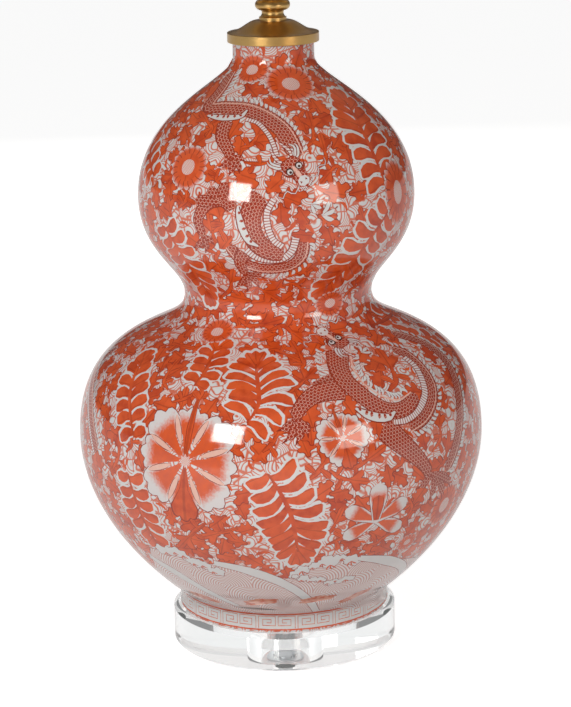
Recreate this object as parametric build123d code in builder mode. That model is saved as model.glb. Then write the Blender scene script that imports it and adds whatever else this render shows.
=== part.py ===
from build123d import *
import math
import os

# Double gourd table lamp: a painted porcelain body on a clear acrylic disc, clamped by one
# threaded tube that also carries the socket, the harp and a drum shade. Millimetres, +Z up,
# origin on the surface the lamp stands on, under the middle of the base, front towards -Y.

# ---- driving dimensions -------------------------------------------------------------------

# clearances
fit_gap = 0.2                 # round a piece that is threaded, pushed or dropped into place
running_gap = 0.05            # round a shaft that turns in its hole
seat_gap = 0.1                # between two pieces that lie on each other and come apart

# base
bumper_thickness = 2.0
bumper_radius = 6.4
bumper_circle_radius = 62.0
bumper_count = 4
disc_radius = 76.2
disc_thickness = 25.4
disc_bevel = 3.0
disc_foot_bevel = 1.2
disc_recess_radius = 17.0
disc_recess_depth = 11.0

# porcelain body, heights measured from its foot
foot_radius = 71.4
foot_ring_height = 13.0
foot_ring_width = 9.0
foot_recess = 6.0
floor_thickness = 7.0
belly_radius = 136.2
belly_height = 122.0
waist_radius = 62.6
waist_height = 217.5
bulb_radius = 91.8
bulb_height = 283.0
neck_radius = 26.7
neck_height = 373.8
rim_height = 388.0
rim_rounding = 1.6
foot_rounding = 1.0
wall = 5.5
flare_angle = 51.6            # the belly's slope away from the foot, from upright
flare_pull = 45.3             # how far each curve keeps its first direction
belly_pull_down = 41.0
belly_pull_up = 81.0
waist_pull_down = 29.2
waist_pull_up = 18.6
bulb_pull_down = 37.0
bulb_pull_up = 57.4
neck_pull_down = 14.4
floor_hole_radius = 9.0
floor_cove = 6.0

# threaded tube and its stack
pipe_radius = 5.1
pipe_bore = 3.6
pipe_slot_width = 6.0
nut_across = 14.3
nut_thickness = 4.0
nut_corner_cut = 0.8            # the eased corners, inwards
nut_corner_drop = 0.6           # and down each side
washer_radius = 12.7
washer_thickness = 1.5
lock_washer_radius = 8.5
lock_washer_thickness = 0.9
lock_tooth_count = 12
lock_tooth_length = 2.2
lock_tooth_width = 1.6
lock_tooth_stand = 1.2
pipe_below_nut = 1.6
pipe_end_depth = 1.0          # of the tube's top end below the top of the socket's hub
grommet_flange = 13.0
grommet_flange_thickness = 2.0
grommet_rounding = 0.9
ring_thickness = 3.0
gasket_thickness = 1.0
cap_overhang = 3.4
cap_skirt = 5.0
cap_metal = 1.2
cap_rise = 7.6
cap_shoulder_reach = 9.0        # how far the crown runs flat from the skirt
cap_shoulder_rise = 0.3
cap_boss_margin = 2.0           # the flat round the neck's foot
cap_boss_pull = 6.0
spacer_height = 20.0
spacer_foot_radius = 9.0
spacer_bead_radius = 11.5
spacer_waist_radius = 7.2
spacer_foot_height = 2.0
spacer_waist_level = 4.2        # of the narrowest place, from either end
spacer_bead_root = 0.6
spacer_bead_half_height = 3.4

# socket
socket_cap_hub_radius = 7.8
socket_cap_hub_height = 8.0
socket_cap_height = 20.0
socket_metal = 0.7
socket_dome_in = 3.2            # the dome's shoulder, inwards from its mouth
socket_dome_up = 2.4            # and above the hub
socket_dome_wall = 0.5
socket_dome_root = 0.4
socket_cap_lip = 5.0
screw_stand = 2.4
screw_slot_width = 0.6
screw_slot_depth = 0.9
shell_radius = 19.0
shell_height = 44.0
shell_overlap = 4.0
shell_bead_stand = 1.1
shell_bead_low = 9.0            # the bead's two edges, below the mouth
shell_bead_high = 4.0
liner_thickness = 0.6
liner_stop = 1.0                # how far the liner ends below the shell's mouth
interior_radius = 15.8
interior_height = 18.0
interior_flat = 13.4
interior_flange = 3.0
interior_lift = 1.0           # of the moulded interior above the shell's lower edge
lampholder_radius = 13.2      # clear radius of the screw shell for a 26 mm lamp cap
lampholder_depth = 25.0
lampholder_metal = 0.4
lampholder_flange = 2.0
contact_reach = 9.0           # from the axis to the strip's riveted end
contact_foot = 4.0
contact_tip = 3.4
contact_width = 4.6
contact_thickness = 0.6
contact_lift = 2.8
contact_well_radius = 10.5
contact_well_depth = 4.0
set_screw_radius = 1.6
terminal_head_radius = 3.4
terminal_head_height = 2.2
terminal_shank_radius = 1.5
terminal_shank_length = 6.0
terminal_slot_width = 0.8
terminal_slot_depth = 0.9

# switch
stem_radius = 2.4
stem_reach = 27.0
stem_depth = 9.0
knob_radius = 5.6
knob_length = 12.0
knob_wing_width = 4.4
knob_wing_length = 14.6
knob_rounding = 0.8
knob_gap = 2.2

# wiring
lead_radius = 2.5
lead_bend = 60.0
wire_radius = 0.9
wire_offset = 1.25
wire_bend = 1.9
wire_turn_below = 3.4         # where each wire turns out, below the moulded interior
wire_turn_rise = 1.2
lead_inset = 2.0
lead_end_depth = 1.0          # of the lead's cut end below the tube's

# cord inlet
inlet_place = 0.26            # share of the way along the foot-to-belly curve
bushing_barrel_radius = 6.0
bushing_flange_radius = 9.0
bushing_flange_thickness = 2.4
bushing_bore = 2.8
bushing_rounding = 1.0
bushing_past_wall = 8.0
bushing_nut_across = 18.0
bushing_nut_thickness = 3.5
bushing_nut_stand_off = 0.75
inlet_seat_depth = 0.7

# harp
saddle_metal = 1.2
saddle_width = 12.0
saddle_bend = 3.0
tongue_width = 4.0
tongue_height = 17.0
tongue_clearance = 4.8        # between the socket shell and each tongue
ledge_height = 7.5            # top of the ledge above the underside of the strip
ledge_reach = 4.6
harp_wire_radius = 1.5
harp_wire_gap = 0.25
harp_straight = 46.0
harp_shoulder_drop = 44.0
harp_half_width = 58.0
harp_height = 250.0
harp_bends = (30.0, 60.0, 52.0)
harp_eye_radius = 6.5
harp_eye_thickness = 2.2
harp_weld = 0.6               # how far the wire runs into the eye
sleeve_bore = 3.4
sleeve_metal = 0.8
sleeve_height = 15.5
sleeve_rounding = 0.5
sleeve_hold = 2.4             # how far its bore reaches in past the tongue's outer face
stud_radius = 3.1
stud_height = 10.5
stud_rivet_radius = 2.4
stud_collar_radius = 5.6
stud_collar_height = 2.0
stud_head_radius = 4.2
stud_head_height = 1.4
stud_chamfer = 0.6

# shade
shade_bottom_radius = 203.2
shade_top_radius = 165.1
shade_height = 254.0
shade_drop = 238.0            # from the spider's hub down to the panel's lower edge
fabric_thickness = 0.8
liner_sheet = 0.7
sheet_gap = 0.1
shade_wire_radius = 1.6
hub_radius = 13.0
hub_thickness = 1.6
hub_hole = 3.4
spider_arms = 3
spider_elbow = 14.0
spider_bend = 12.0
trim_height = 12.0
trim_inner_height = 8.0
trim_thickness = 0.8
arm_notch_room = 1.6

# finial
insert_radius = 4.6
insert_height = 9.0
finial_foot_radius = 8.5
finial_neck_radius = 5.4
finial_foot_height = 2.0
finial_neck_level = 5.6
finial_neck_flare = 0.6
finial_cup_height = 2.0
finial_base_height = 13.0
finial_cup_radius = 7.6
finial_bore_past_insert = 0.6
ball_radius = 14.0

# ---- levels that follow from them ---------------------------------------------------------

disc_bottom = bumper_thickness
disc_top = disc_bottom + disc_thickness
body_foot = disc_top
floor_top = body_foot + foot_recess + floor_thickness
rim_top = body_foot + rim_height
cap_underside = rim_top + gasket_thickness
cap_top = cap_underside + cap_metal + cap_rise
spacer_top = cap_top + spacer_height
saddle_top = spacer_top + saddle_metal
socket_cap_bottom = saddle_top + nut_thickness
socket_cap_top = socket_cap_bottom + socket_cap_height
shell_bottom = socket_cap_top - shell_overlap
shell_top = shell_bottom + shell_height
interior_bottom = shell_bottom + interior_lift
interior_top = interior_bottom + interior_height
terminal_level = interior_bottom + interior_height / 2
recess_roof = disc_bottom + disc_recess_depth
washer_bottom = recess_roof - washer_thickness
lock_washer_bottom = washer_bottom - lock_washer_thickness
base_nut_bottom = lock_washer_bottom - nut_thickness
pipe_bottom = base_nut_bottom - pipe_below_nut
pipe_top = socket_cap_bottom + socket_cap_hub_height - pipe_end_depth
lead_top = pipe_top - lead_end_depth
ledge_top = spacer_top + ledge_height
tongue_inner = shell_radius + tongue_clearance
sleeve_axis = tongue_inner + saddle_metal + (sleeve_bore - sleeve_hold)
wire_axis = tongue_inner + saddle_metal + harp_wire_gap + harp_wire_radius
harp_foot = ledge_top + seat_gap
harp_top = harp_foot + harp_height
eye_top = harp_top + harp_eye_thickness / 2
eye_bottom = harp_top - harp_eye_thickness / 2
hub_bottom = eye_top + stud_collar_height + seat_gap
hub_top = hub_bottom + hub_thickness
shade_bottom = hub_bottom - shade_drop
shade_top = shade_bottom + shade_height
finial_bottom = hub_top + seat_gap
finial_base_top = finial_bottom + finial_base_height


def write(piece, name):
    """Label a finished piece and write its file."""
    piece.label = name
    export_step(piece, f"parts/{name}.step")


def ring(outer, inner, bottom, height):
    """A flat round ring or washer on the lamp's axis."""
    with BuildPart() as made:
        with BuildSketch(Plane.XY.offset(bottom)):
            Circle(outer)
            Circle(inner, mode=Mode.SUBTRACT)
        extrude(amount=height)
    return made


def hex_nut(across, bore, bottom, height):
    """A hexagon nut on the lamp's axis with its corners eased."""
    corner = across / math.sqrt(3)
    with BuildPart() as made:
        with BuildSketch(Plane.XY.offset(bottom)):
            RegularPolygon(across / 2, 6, major_radius=False)
            Circle(bore, mode=Mode.SUBTRACT)
        extrude(amount=height)
        with BuildSketch(Plane.XZ):
            with BuildLine():
                Polyline((0, bottom), (corner - nut_corner_cut, bottom), (corner, bottom + nut_corner_drop),
                         (corner, bottom + height - nut_corner_drop),
                         (corner - nut_corner_cut, bottom + height),
                         (0, bottom + height), close=True)
            make_face()
        revolve(axis=Axis.Z, mode=Mode.INTERSECT)
    return made


os.makedirs("parts", exist_ok=True)

# ---- base ---------------------------------------------------------------------------------

# Clear acrylic disc: polished, top edge bevelled, recessed below for the clamping nut.
with BuildPart() as base_disc:
    with BuildSketch(Plane.XY.offset(disc_bottom)):
        Circle(disc_radius)
        Circle(pipe_radius + 2 * fit_gap, mode=Mode.SUBTRACT)
    extrude(amount=disc_thickness)
    chamfer(base_disc.edges().filter_by(GeomType.CIRCLE).group_by(Axis.Z)[-1].sort_by(SortBy.RADIUS)[-1],
            disc_bevel)
    chamfer(base_disc.edges().filter_by(GeomType.CIRCLE).group_by(Axis.Z)[0].sort_by(SortBy.RADIUS)[-1],
            disc_foot_bevel)
    with BuildSketch(Plane.XY.offset(disc_bottom)):
        Circle(disc_recess_radius)
    extrude(amount=disc_recess_depth, mode=Mode.SUBTRACT)
write(base_disc.part, "base_disc")

# Four domed stick-on bumpers, flat where they meet the disc and the table.
with BuildPart() as base_bumpers:
    with BuildSketch():
        with PolarLocations(bumper_circle_radius, bumper_count, start_angle=-90):
            Circle(bumper_radius)
    extrude(amount=bumper_thickness)
    chamfer(base_bumpers.edges().filter_by(GeomType.CIRCLE).group_by(Axis.Z)[0], bumper_thickness / 3)
write(base_bumpers.part, "base_bumpers")

base_washer = ring(washer_radius, pipe_radius + fit_gap, washer_bottom, washer_thickness)
write(base_washer.part, "base_washer")

# Toothed lock washer between the plain washer and the nut.
with BuildPart() as lock_washer:
    with BuildSketch(Plane.XY.offset(lock_washer_bottom)):
        Circle(lock_washer_radius - lock_tooth_stand)
        with PolarLocations(lock_washer_radius - lock_tooth_length / 2, lock_tooth_count):
            Rectangle(lock_tooth_length, lock_tooth_width)
        Circle(pipe_radius + fit_gap, mode=Mode.SUBTRACT)
    extrude(amount=lock_washer_thickness)
write(lock_washer.part, "lock_washer")

base_nut = hex_nut(nut_across, pipe_radius + fit_gap, base_nut_bottom, nut_thickness)
write(base_nut.part, "base_nut")

# ---- porcelain body -----------------------------------------------------------------------

flare_out = flare_pull * math.sin(math.radians(flare_angle))
flare_up = flare_pull * math.cos(math.radians(flare_angle))
foot_corner = Vector(foot_radius, body_foot + foot_ring_height)
belly = Vector(belly_radius, body_foot + belly_height)
waist = Vector(waist_radius, body_foot + waist_height)
bulb = Vector(bulb_radius, body_foot + bulb_height)
neck = Vector(neck_radius, body_foot + neck_height)
up = Vector(0, 1)

# The four curves of the outside, each as its two ends with the points that steer it between.
body_curves = (
    (foot_corner, foot_corner + Vector(flare_out, flare_up), belly - up * belly_pull_down, belly),
    (belly, belly + up * belly_pull_up, waist - up * waist_pull_down, waist),
    (waist, waist + up * waist_pull_up, bulb - up * bulb_pull_down, bulb),
    (bulb, bulb + up * bulb_pull_up, neck - up * neck_pull_down, neck),
)


def inset_curve(curve, depth):
    """The same curve moved towards the lamp's axis by an even depth, as a cast wall is."""
    start, first, last, end = curve
    moved = []
    for point, handle, sweep_turn in (
            (start, first - start, (first - start).cross(last - first).Z),
            (end, end - last, (last - first).cross(end - last).Z)):
        inward = handle.normalized().rotate(Axis.Z, 90)
        bend = 2 / 3 * sweep_turn / handle.length ** 3
        moved.append((point + inward * depth, handle * (1 - depth * bend)))
    (new_start, new_first), (new_end, new_last) = moved
    return new_start, new_start + new_first, new_end - new_last, new_end


# The inlet is drilled square to the wall, low at the back of the body.
with BuildLine() as inlet_curve:
    Bezier(*body_curves[0])
inlet_point = inlet_curve.line @ inlet_place
inlet_slope = inlet_curve.line % inlet_place
inlet_plane = Plane(origin=(0, inlet_point.X, inlet_point.Y), x_dir=(1, 0, 0),
                    z_dir=(0, inlet_slope.Y, -inlet_slope.X))

# Slip-cast porcelain shell of even wall, open at the neck, on a foot ring with a thrown-in floor.
with BuildPart() as gourd_body:
    with BuildSketch(Plane.XZ):
        with BuildLine():
            Line((foot_radius, body_foot), foot_corner)
            for curve in body_curves:
                Bezier(*curve)
            Polyline(neck, (neck_radius, rim_top), (0, rim_top), (0, body_foot),
                     (foot_radius, body_foot))
        make_face()
    revolve(axis=Axis.Z)
    cavity_curves = [inset_curve(curve, wall) for curve in body_curves]
    cavity_foot = cavity_curves[0][0]
    with BuildSketch(Plane.XZ):
        with BuildLine():
            Polyline((0, floor_top), (cavity_foot.X - floor_cove, floor_top), cavity_foot)
            for curve in cavity_curves:
                Bezier(*curve)
            Polyline(cavity_curves[-1][3], (neck_radius - wall, rim_top), (0, rim_top), (0, floor_top))
        make_face()
    revolve(axis=Axis.Z, mode=Mode.SUBTRACT)
    with BuildSketch(Plane.XY.offset(body_foot)):
        Circle(foot_radius - foot_ring_width)
    extrude(amount=foot_recess, mode=Mode.SUBTRACT)
    with BuildSketch(Plane.XY.offset(body_foot)):
        Circle(floor_hole_radius)
    extrude(amount=foot_recess + floor_thickness, mode=Mode.SUBTRACT)
    fillet(gourd_body.edges().filter_by(GeomType.CIRCLE).group_by(Axis.Z)[-1], rim_rounding)
    fillet(gourd_body.edges().filter_by(GeomType.CIRCLE).group_by(Axis.Z)[0], foot_rounding)
    with BuildSketch(inlet_plane.offset(bushing_flange_thickness)):
        Circle(bushing_barrel_radius + fit_gap)
    extrude(amount=-(bushing_flange_thickness + 3 * wall), mode=Mode.SUBTRACT)
    with BuildSketch(inlet_plane.offset(-inlet_seat_depth)):
        Circle(bushing_flange_radius + fit_gap)
    extrude(amount=bushing_flange_thickness, mode=Mode.SUBTRACT)
write(gourd_body.part, "gourd_body")

# Rubber grommet with its flange on the inside of the floor.
with BuildPart() as floor_grommet:
    with BuildSketch(Plane.XZ):
        with BuildLine():
            Polyline((pipe_radius + fit_gap, floor_top - floor_thickness),
                     (floor_hole_radius - fit_gap, floor_top - floor_thickness),
                     (floor_hole_radius - fit_gap, floor_top), (grommet_flange, floor_top),
                     (grommet_flange, floor_top + grommet_flange_thickness),
                     (pipe_radius + fit_gap, floor_top + grommet_flange_thickness), close=True)
        make_face()
    revolve(axis=Axis.Z)
    fillet(floor_grommet.edges().filter_by(GeomType.CIRCLE).group_by(Axis.Z)[-1].sort_by(SortBy.RADIUS)[-1],
           grommet_rounding)
write(floor_grommet.part, "floor_grommet")

# ---- neck fittings ------------------------------------------------------------------------

neck_centring_ring = ring(neck_radius - wall - 2 * fit_gap, pipe_radius + fit_gap,
                          cap_underside - ring_thickness, ring_thickness)
write(neck_centring_ring.part, "neck_centring_ring")

cap_gasket = ring(neck_radius - rim_rounding, neck_radius - wall + rim_rounding, rim_top, gasket_thickness)
write(cap_gasket.part, "cap_gasket")

# Spun brass cap: a skirt over the rim, an ogee crown and a flat boss for the neck.
cap_radius = neck_radius + cap_overhang
with BuildPart() as vase_cap:
    with BuildSketch(Plane.XZ):
        with BuildLine():
            skirt = Polyline((pipe_radius + fit_gap, cap_underside), (cap_radius - cap_metal, cap_underside),
                             (cap_radius - cap_metal, cap_underside - cap_skirt),
                             (cap_radius, cap_underside - cap_skirt), (cap_radius, cap_underside + cap_metal))
            crown = Bezier(skirt @ 1, (cap_radius - cap_shoulder_reach,
                                          cap_underside + cap_metal + cap_shoulder_rise),
                           (spacer_foot_radius + cap_boss_margin + cap_boss_pull, cap_top),
                           (spacer_foot_radius + cap_boss_margin, cap_top))
            Polyline(crown @ 1, (pipe_radius + fit_gap, cap_top), (pipe_radius + fit_gap, cap_underside))
        make_face()
    revolve(axis=Axis.Z)
    fillet(vase_cap.edges().filter_by(GeomType.CIRCLE).sort_by(SortBy.RADIUS)[-2:], cap_metal / 3)
write(vase_cap.part, "vase_cap")

# Turned brass neck with one bead.
spacer_middle = (cap_top + spacer_top) / 2
bead_root = spacer_waist_radius + spacer_bead_root
with BuildPart() as neck_spacer:
    with BuildSketch(Plane.XZ):
        with BuildLine():
            foot_line = Polyline((pipe_radius + fit_gap, cap_top), (spacer_foot_radius, cap_top),
                                 (spacer_foot_radius, cap_top + spacer_foot_height))
            lower = ThreePointArc(foot_line @ 1, (spacer_waist_radius, cap_top + spacer_waist_level),
                                  (bead_root, spacer_middle - spacer_bead_half_height))
            bead = ThreePointArc(lower @ 1, (spacer_bead_radius, spacer_middle),
                                 (bead_root, spacer_middle + spacer_bead_half_height))
            upper = ThreePointArc(bead @ 1, (spacer_waist_radius, spacer_top - spacer_waist_level),
                                  (spacer_foot_radius, spacer_top - spacer_foot_height))
            Polyline(upper @ 1, (spacer_foot_radius, spacer_top), (pipe_radius + fit_gap, spacer_top),
                     (pipe_radius + fit_gap, cap_top))
        make_face()
    revolve(axis=Axis.Z)
write(neck_spacer.part, "neck_spacer")

# Bent steel strip: flat on the neck, with a ledge and a narrow tongue at each end for the harp.
strip_outer = tongue_inner + saddle_metal
with BuildPart() as harp_saddle:
    with BuildSketch(Plane.XZ):
        with BuildLine():
            Polyline((-strip_outer, ledge_top), (-strip_outer, spacer_top), (strip_outer, spacer_top),
                     (strip_outer, ledge_top), (tongue_inner, ledge_top), (tongue_inner, saddle_top),
                     (-tongue_inner, saddle_top), (-tongue_inner, ledge_top), close=True)
        make_face()
    extrude(amount=saddle_width / 2, both=True)
    fillet(harp_saddle.edges().filter_by(Axis.Y).group_by(Axis.Z)[0], saddle_bend)
    fillet(harp_saddle.edges().filter_by(Axis.Y).group_by(Axis.Z)[1], saddle_bend - saddle_metal)
    with BuildSketch(Plane.XY.offset(ledge_top - saddle_metal)):
        with Locations((strip_outer, 0), (-strip_outer, 0)):
            Rectangle(2 * ledge_reach, saddle_width / 2)
        Rectangle(2 * tongue_inner, saddle_width, mode=Mode.SUBTRACT)
    extrude(amount=saddle_metal)
    with BuildSketch(Plane.XY.offset(ledge_top)):
        with Locations((tongue_inner + saddle_metal / 2, 0), (-tongue_inner - saddle_metal / 2, 0)):
            Rectangle(saddle_metal, tongue_width)
    extrude(amount=tongue_height)
    with BuildSketch(Plane.XY.offset(spacer_top)):
        Circle(pipe_radius + fit_gap)
    extrude(amount=saddle_metal, mode=Mode.SUBTRACT)
write(harp_saddle.part, "harp_saddle")

saddle_nut = hex_nut(nut_across, pipe_radius + fit_gap, saddle_top, nut_thickness)
write(saddle_nut.part, "saddle_nut")

# Threaded steel tube through the whole lamp, slotted at the back where the lead comes in.
lead_rise = inlet_point.X * inlet_slope.X / inlet_slope.Y
lead_corner = inlet_point.Y + lead_rise
lead_turn = math.radians(90) - math.atan2(inlet_slope.X, inlet_slope.Y)
slot_top = lead_corner + lead_bend * math.tan(lead_turn / 2)
slot_height = lead_bend * math.sin(lead_turn)
with BuildPart() as lamp_pipe:
    with BuildSketch(Plane.XY.offset(pipe_bottom)):
        Circle(pipe_radius)
        Circle(pipe_bore, mode=Mode.SUBTRACT)
    extrude(amount=pipe_top - pipe_bottom)
    with BuildSketch(Plane.XZ.offset(-2 * pipe_radius)):
        with Locations((0, slot_top)):
            SlotOverall(slot_height + pipe_slot_width, pipe_slot_width, rotation=90,
                        align=(Align.MAX, Align.CENTER))
    extrude(amount=2 * pipe_radius, mode=Mode.SUBTRACT)
write(lamp_pipe.part, "lamp_pipe")

# ---- cord inlet and wiring ----------------------------------------------------------------

# Moulded bushing pushed through the wall, with a rounded flange outside.
with BuildPart() as cord_bushing:
    with BuildSketch(inlet_plane.offset(-inlet_seat_depth)):
        Circle(bushing_flange_radius)
    extrude(amount=bushing_flange_thickness)
    fillet(cord_bushing.edges().filter_by(GeomType.CIRCLE).sort_by_distance(inlet_plane.origin)[-1],
           bushing_rounding)
    with BuildSketch(inlet_plane.offset(-inlet_seat_depth)):
        Circle(bushing_barrel_radius)
    extrude(amount=-(wall + bushing_past_wall))
    with BuildSketch(inlet_plane.offset(bushing_flange_thickness)):
        Circle(bushing_bore)
    extrude(amount=-(wall + bushing_past_wall + 2 * bushing_flange_thickness), mode=Mode.SUBTRACT)
write(cord_bushing.part, "cord_bushing")

with BuildPart() as bushing_nut:
    with BuildSketch(inlet_plane.offset(-(wall + bushing_nut_stand_off))):
        RegularPolygon(bushing_nut_across / 2, 6, major_radius=False)
        Circle(bushing_barrel_radius + fit_gap, mode=Mode.SUBTRACT)
    extrude(amount=-bushing_nut_thickness)
write(bushing_nut.part, "bushing_nut")

# The lead runs straight in from the bushing, turns up through the tube's slot and ends at its top.
lead_start = inlet_plane.origin - inlet_plane.z_dir * lead_inset
with BuildPart() as supply_lead:
    with BuildLine():
        FilletPolyline(lead_start, (0, 0, lead_corner), (0, 0, lead_top), radius=lead_bend)
    with BuildSketch(Plane(origin=lead_start, x_dir=(1, 0, 0), z_dir=-inlet_plane.z_dir)):
        Circle(lead_radius)
    sweep()
write(supply_lead.part, "supply_lead")


def conductor(side):
    """One insulated wire from the end of the lead to the terminal on its side."""
    clear = interior_flat + wire_radius + seat_gap
    with BuildPart() as made:
        with BuildLine(Plane.XZ):
            FilletPolyline((side * wire_offset, lead_top),
                           (side * wire_offset, interior_bottom - wire_turn_below),
                           (side * clear, interior_bottom - wire_turn_below + wire_turn_rise),
                           (side * clear, terminal_level - terminal_head_radius - seat_gap),
                           radius=wire_bend)
        with BuildSketch(Plane.XY.offset(lead_top)):
            with Locations((side * wire_offset, 0)):
                Circle(wire_radius)
        sweep()
    return made


live_wire = conductor(1)
write(live_wire.part, "live_wire")
neutral_wire = conductor(-1)
write(neutral_wire.part, "neutral_wire")

# ---- socket -------------------------------------------------------------------------------

# Spun brass cap: a threaded hub on the tube and a dome that takes the shell.
hub_top_level = socket_cap_bottom + socket_cap_hub_height
cap_mouth = shell_radius + fit_gap
with BuildPart() as socket_cap:
    with BuildSketch(Plane.XZ):
        with BuildLine():
            hub = Polyline((pipe_radius + fit_gap, hub_top_level), (pipe_radius + fit_gap, socket_cap_bottom),
                           (socket_cap_hub_radius, socket_cap_bottom),
                           (socket_cap_hub_radius, hub_top_level - socket_metal))
            dome = ThreePointArc(hub @ 1, (cap_mouth - socket_dome_in, hub_top_level + socket_dome_up),
                                 (cap_mouth + socket_metal, socket_cap_top - socket_cap_lip))
            edge = Polyline(dome @ 1, (cap_mouth + socket_metal, socket_cap_top), (cap_mouth, socket_cap_top),
                            (cap_mouth, socket_cap_top - socket_cap_lip))
            inside = ThreePointArc(edge @ 1,
                                   (cap_mouth - socket_dome_in - socket_dome_wall,
                                    hub_top_level + socket_dome_up + socket_dome_wall),
                                   (socket_cap_hub_radius - socket_dome_root, hub_top_level))
            Line(inside @ 1, hub @ 0)
        make_face()
    revolve(axis=Axis.Z)
    screw_level = socket_cap_bottom + socket_cap_hub_height / 2
    with BuildSketch(Plane(origin=(0, 0, screw_level), x_dir=(1, 0, 0), z_dir=(0, 1, 0))):
        Circle(set_screw_radius + running_gap)
    extrude(amount=2 * socket_cap_hub_radius, mode=Mode.SUBTRACT)
write(socket_cap.part, "socket_cap")

# Slotted set screw in the hub, tight against the tube, at the back.
with BuildPart() as socket_set_screw:
    with BuildSketch(Plane(origin=(0, pipe_radius, screw_level), x_dir=(1, 0, 0), z_dir=(0, 1, 0))):
        Circle(set_screw_radius)
    extrude(amount=socket_cap_hub_radius - pipe_radius + screw_stand)
    with BuildSketch(Plane(origin=(0, socket_cap_hub_radius + screw_stand, screw_level), x_dir=(1, 0, 0),
                           z_dir=(0, 1, 0))):
        Rectangle(2 * set_screw_radius, screw_slot_width)
    extrude(amount=-screw_slot_depth, mode=Mode.SUBTRACT)
write(socket_set_screw.part, "socket_set_screw")

# Brass shell with a bead below its mouth and a hole at the front for the switch stem.
with BuildPart() as socket_shell:
    with BuildSketch(Plane.XZ):
        with BuildLine():
            outside = Polyline((shell_radius - socket_metal, shell_bottom), (shell_radius, shell_bottom),
                               (shell_radius, shell_top - shell_bead_low))
            bulge = ThreePointArc(outside @ 1,
                                  (shell_radius + shell_bead_stand,
                                   shell_top - (shell_bead_low + shell_bead_high) / 2),
                                  (shell_radius, shell_top - shell_bead_high))
            rim = Polyline(bulge @ 1, (shell_radius, shell_top), (shell_radius - socket_metal, shell_top),
                           (shell_radius - socket_metal, shell_bottom))
        make_face()
    revolve(axis=Axis.Z)
    with BuildSketch(Plane(origin=(0, 0, terminal_level), x_dir=(1, 0, 0), z_dir=(0, -1, 0))):
        Circle(stem_radius + 4 * fit_gap)
    extrude(amount=2 * shell_radius, mode=Mode.SUBTRACT)
write(socket_shell.part, "socket_shell")

# Cardboard liner that keeps the shell off the live parts.
liner_outer = shell_radius - socket_metal - fit_gap
with BuildPart() as socket_liner:
    with BuildSketch(Plane.XY.offset(shell_bottom)):
        Circle(liner_outer)
        Circle(liner_outer - liner_thickness, mode=Mode.SUBTRACT)
    extrude(amount=shell_height - liner_stop)
    with BuildSketch(Plane(origin=(0, 0, terminal_level), x_dir=(1, 0, 0), z_dir=(0, -1, 0))):
        Circle(stem_radius + 4 * fit_gap)
    extrude(amount=2 * shell_radius, mode=Mode.SUBTRACT)
write(socket_liner.part, "socket_liner")

# Moulded interior: flats at the sides for the terminals, a bore at the front for the stem and a
# well on top for the centre contact.
stem_inner = interior_radius - stem_depth
with BuildPart() as socket_body:
    with BuildSketch(Plane.XY.offset(interior_bottom)):
        Circle(interior_radius)
    extrude(amount=interior_height)
    with BuildSketch(Plane.XY.offset(interior_bottom)):
        Rectangle(4 * interior_radius, 4 * interior_radius)
        Rectangle(2 * interior_flat, 4 * interior_radius, mode=Mode.SUBTRACT)
    extrude(amount=interior_height - interior_flange, mode=Mode.SUBTRACT)
    with BuildSketch(Plane.XY.offset(interior_top)):
        Circle(contact_well_radius)
    extrude(amount=-contact_well_depth, mode=Mode.SUBTRACT)
    with BuildSketch(Plane(origin=(0, -stem_inner, terminal_level), x_dir=(1, 0, 0), z_dir=(0, -1, 0))):
        Circle(stem_radius + running_gap)
    extrude(amount=2 * stem_depth, mode=Mode.SUBTRACT)
    for side in (1, -1):
        with BuildSketch(Plane(origin=(side * interior_flat, 0, terminal_level), x_dir=(0, 1, 0),
                               z_dir=(-side, 0, 0))):
            Circle(terminal_shank_radius + running_gap)
        extrude(amount=terminal_shank_length + seat_gap, mode=Mode.SUBTRACT)
write(socket_body.part, "socket_body")

# Brass screw shell for the lamp cap, flanged where it stands on the interior.
with BuildPart() as screw_shell:
    with BuildSketch(Plane.XY.offset(interior_top)):
        Circle(lampholder_radius + lampholder_metal)
        Circle(lampholder_radius, mode=Mode.SUBTRACT)
    extrude(amount=lampholder_depth)
    with BuildSketch(Plane.XY.offset(interior_top)):
        Circle(lampholder_radius + lampholder_flange)
        Circle(lampholder_radius, mode=Mode.SUBTRACT)
    extrude(amount=lampholder_metal)
write(screw_shell.part, "screw_shell")

# Sprung centre contact: a strip riveted flat at one end and bent up over the middle of the well.
contact_floor = interior_top - contact_well_depth
contact_top = contact_floor + contact_lift
with BuildPart() as centre_contact:
    with BuildSketch(Plane.XZ):
        with BuildLine():
            Polyline((-contact_reach, contact_floor), (contact_foot - contact_reach, contact_floor),
                     (-contact_tip, contact_top), (contact_tip, contact_top),
                     (contact_tip, contact_top + contact_thickness),
                     (-contact_tip - contact_thickness / 2, contact_top + contact_thickness),
                     (contact_foot - contact_reach - contact_thickness / 2,
                      contact_floor + contact_thickness),
                     (-contact_reach, contact_floor + contact_thickness), close=True)
        make_face()
    extrude(amount=contact_width / 2, both=True)
write(centre_contact.part, "centre_contact")

# Two terminal screws, one for each wire.
with BuildPart() as terminal_screws:
    for side in (1, -1):
        terminal_plane = Plane(origin=(side * interior_flat, 0, terminal_level), x_dir=(0, 1, 0),
                               z_dir=(side, 0, 0))
        with BuildSketch(terminal_plane):
            Circle(terminal_head_radius)
        extrude(amount=terminal_head_height)
        with BuildSketch(terminal_plane):
            Circle(terminal_shank_radius)
        extrude(amount=-terminal_shank_length)
        with BuildSketch(terminal_plane.offset(terminal_head_height)):
            Rectangle(3 * terminal_head_radius, terminal_slot_width)
        extrude(amount=-terminal_slot_depth, mode=Mode.SUBTRACT)
write(terminal_screws.part, "terminal_screws")

# ---- switch -------------------------------------------------------------------------------

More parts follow.
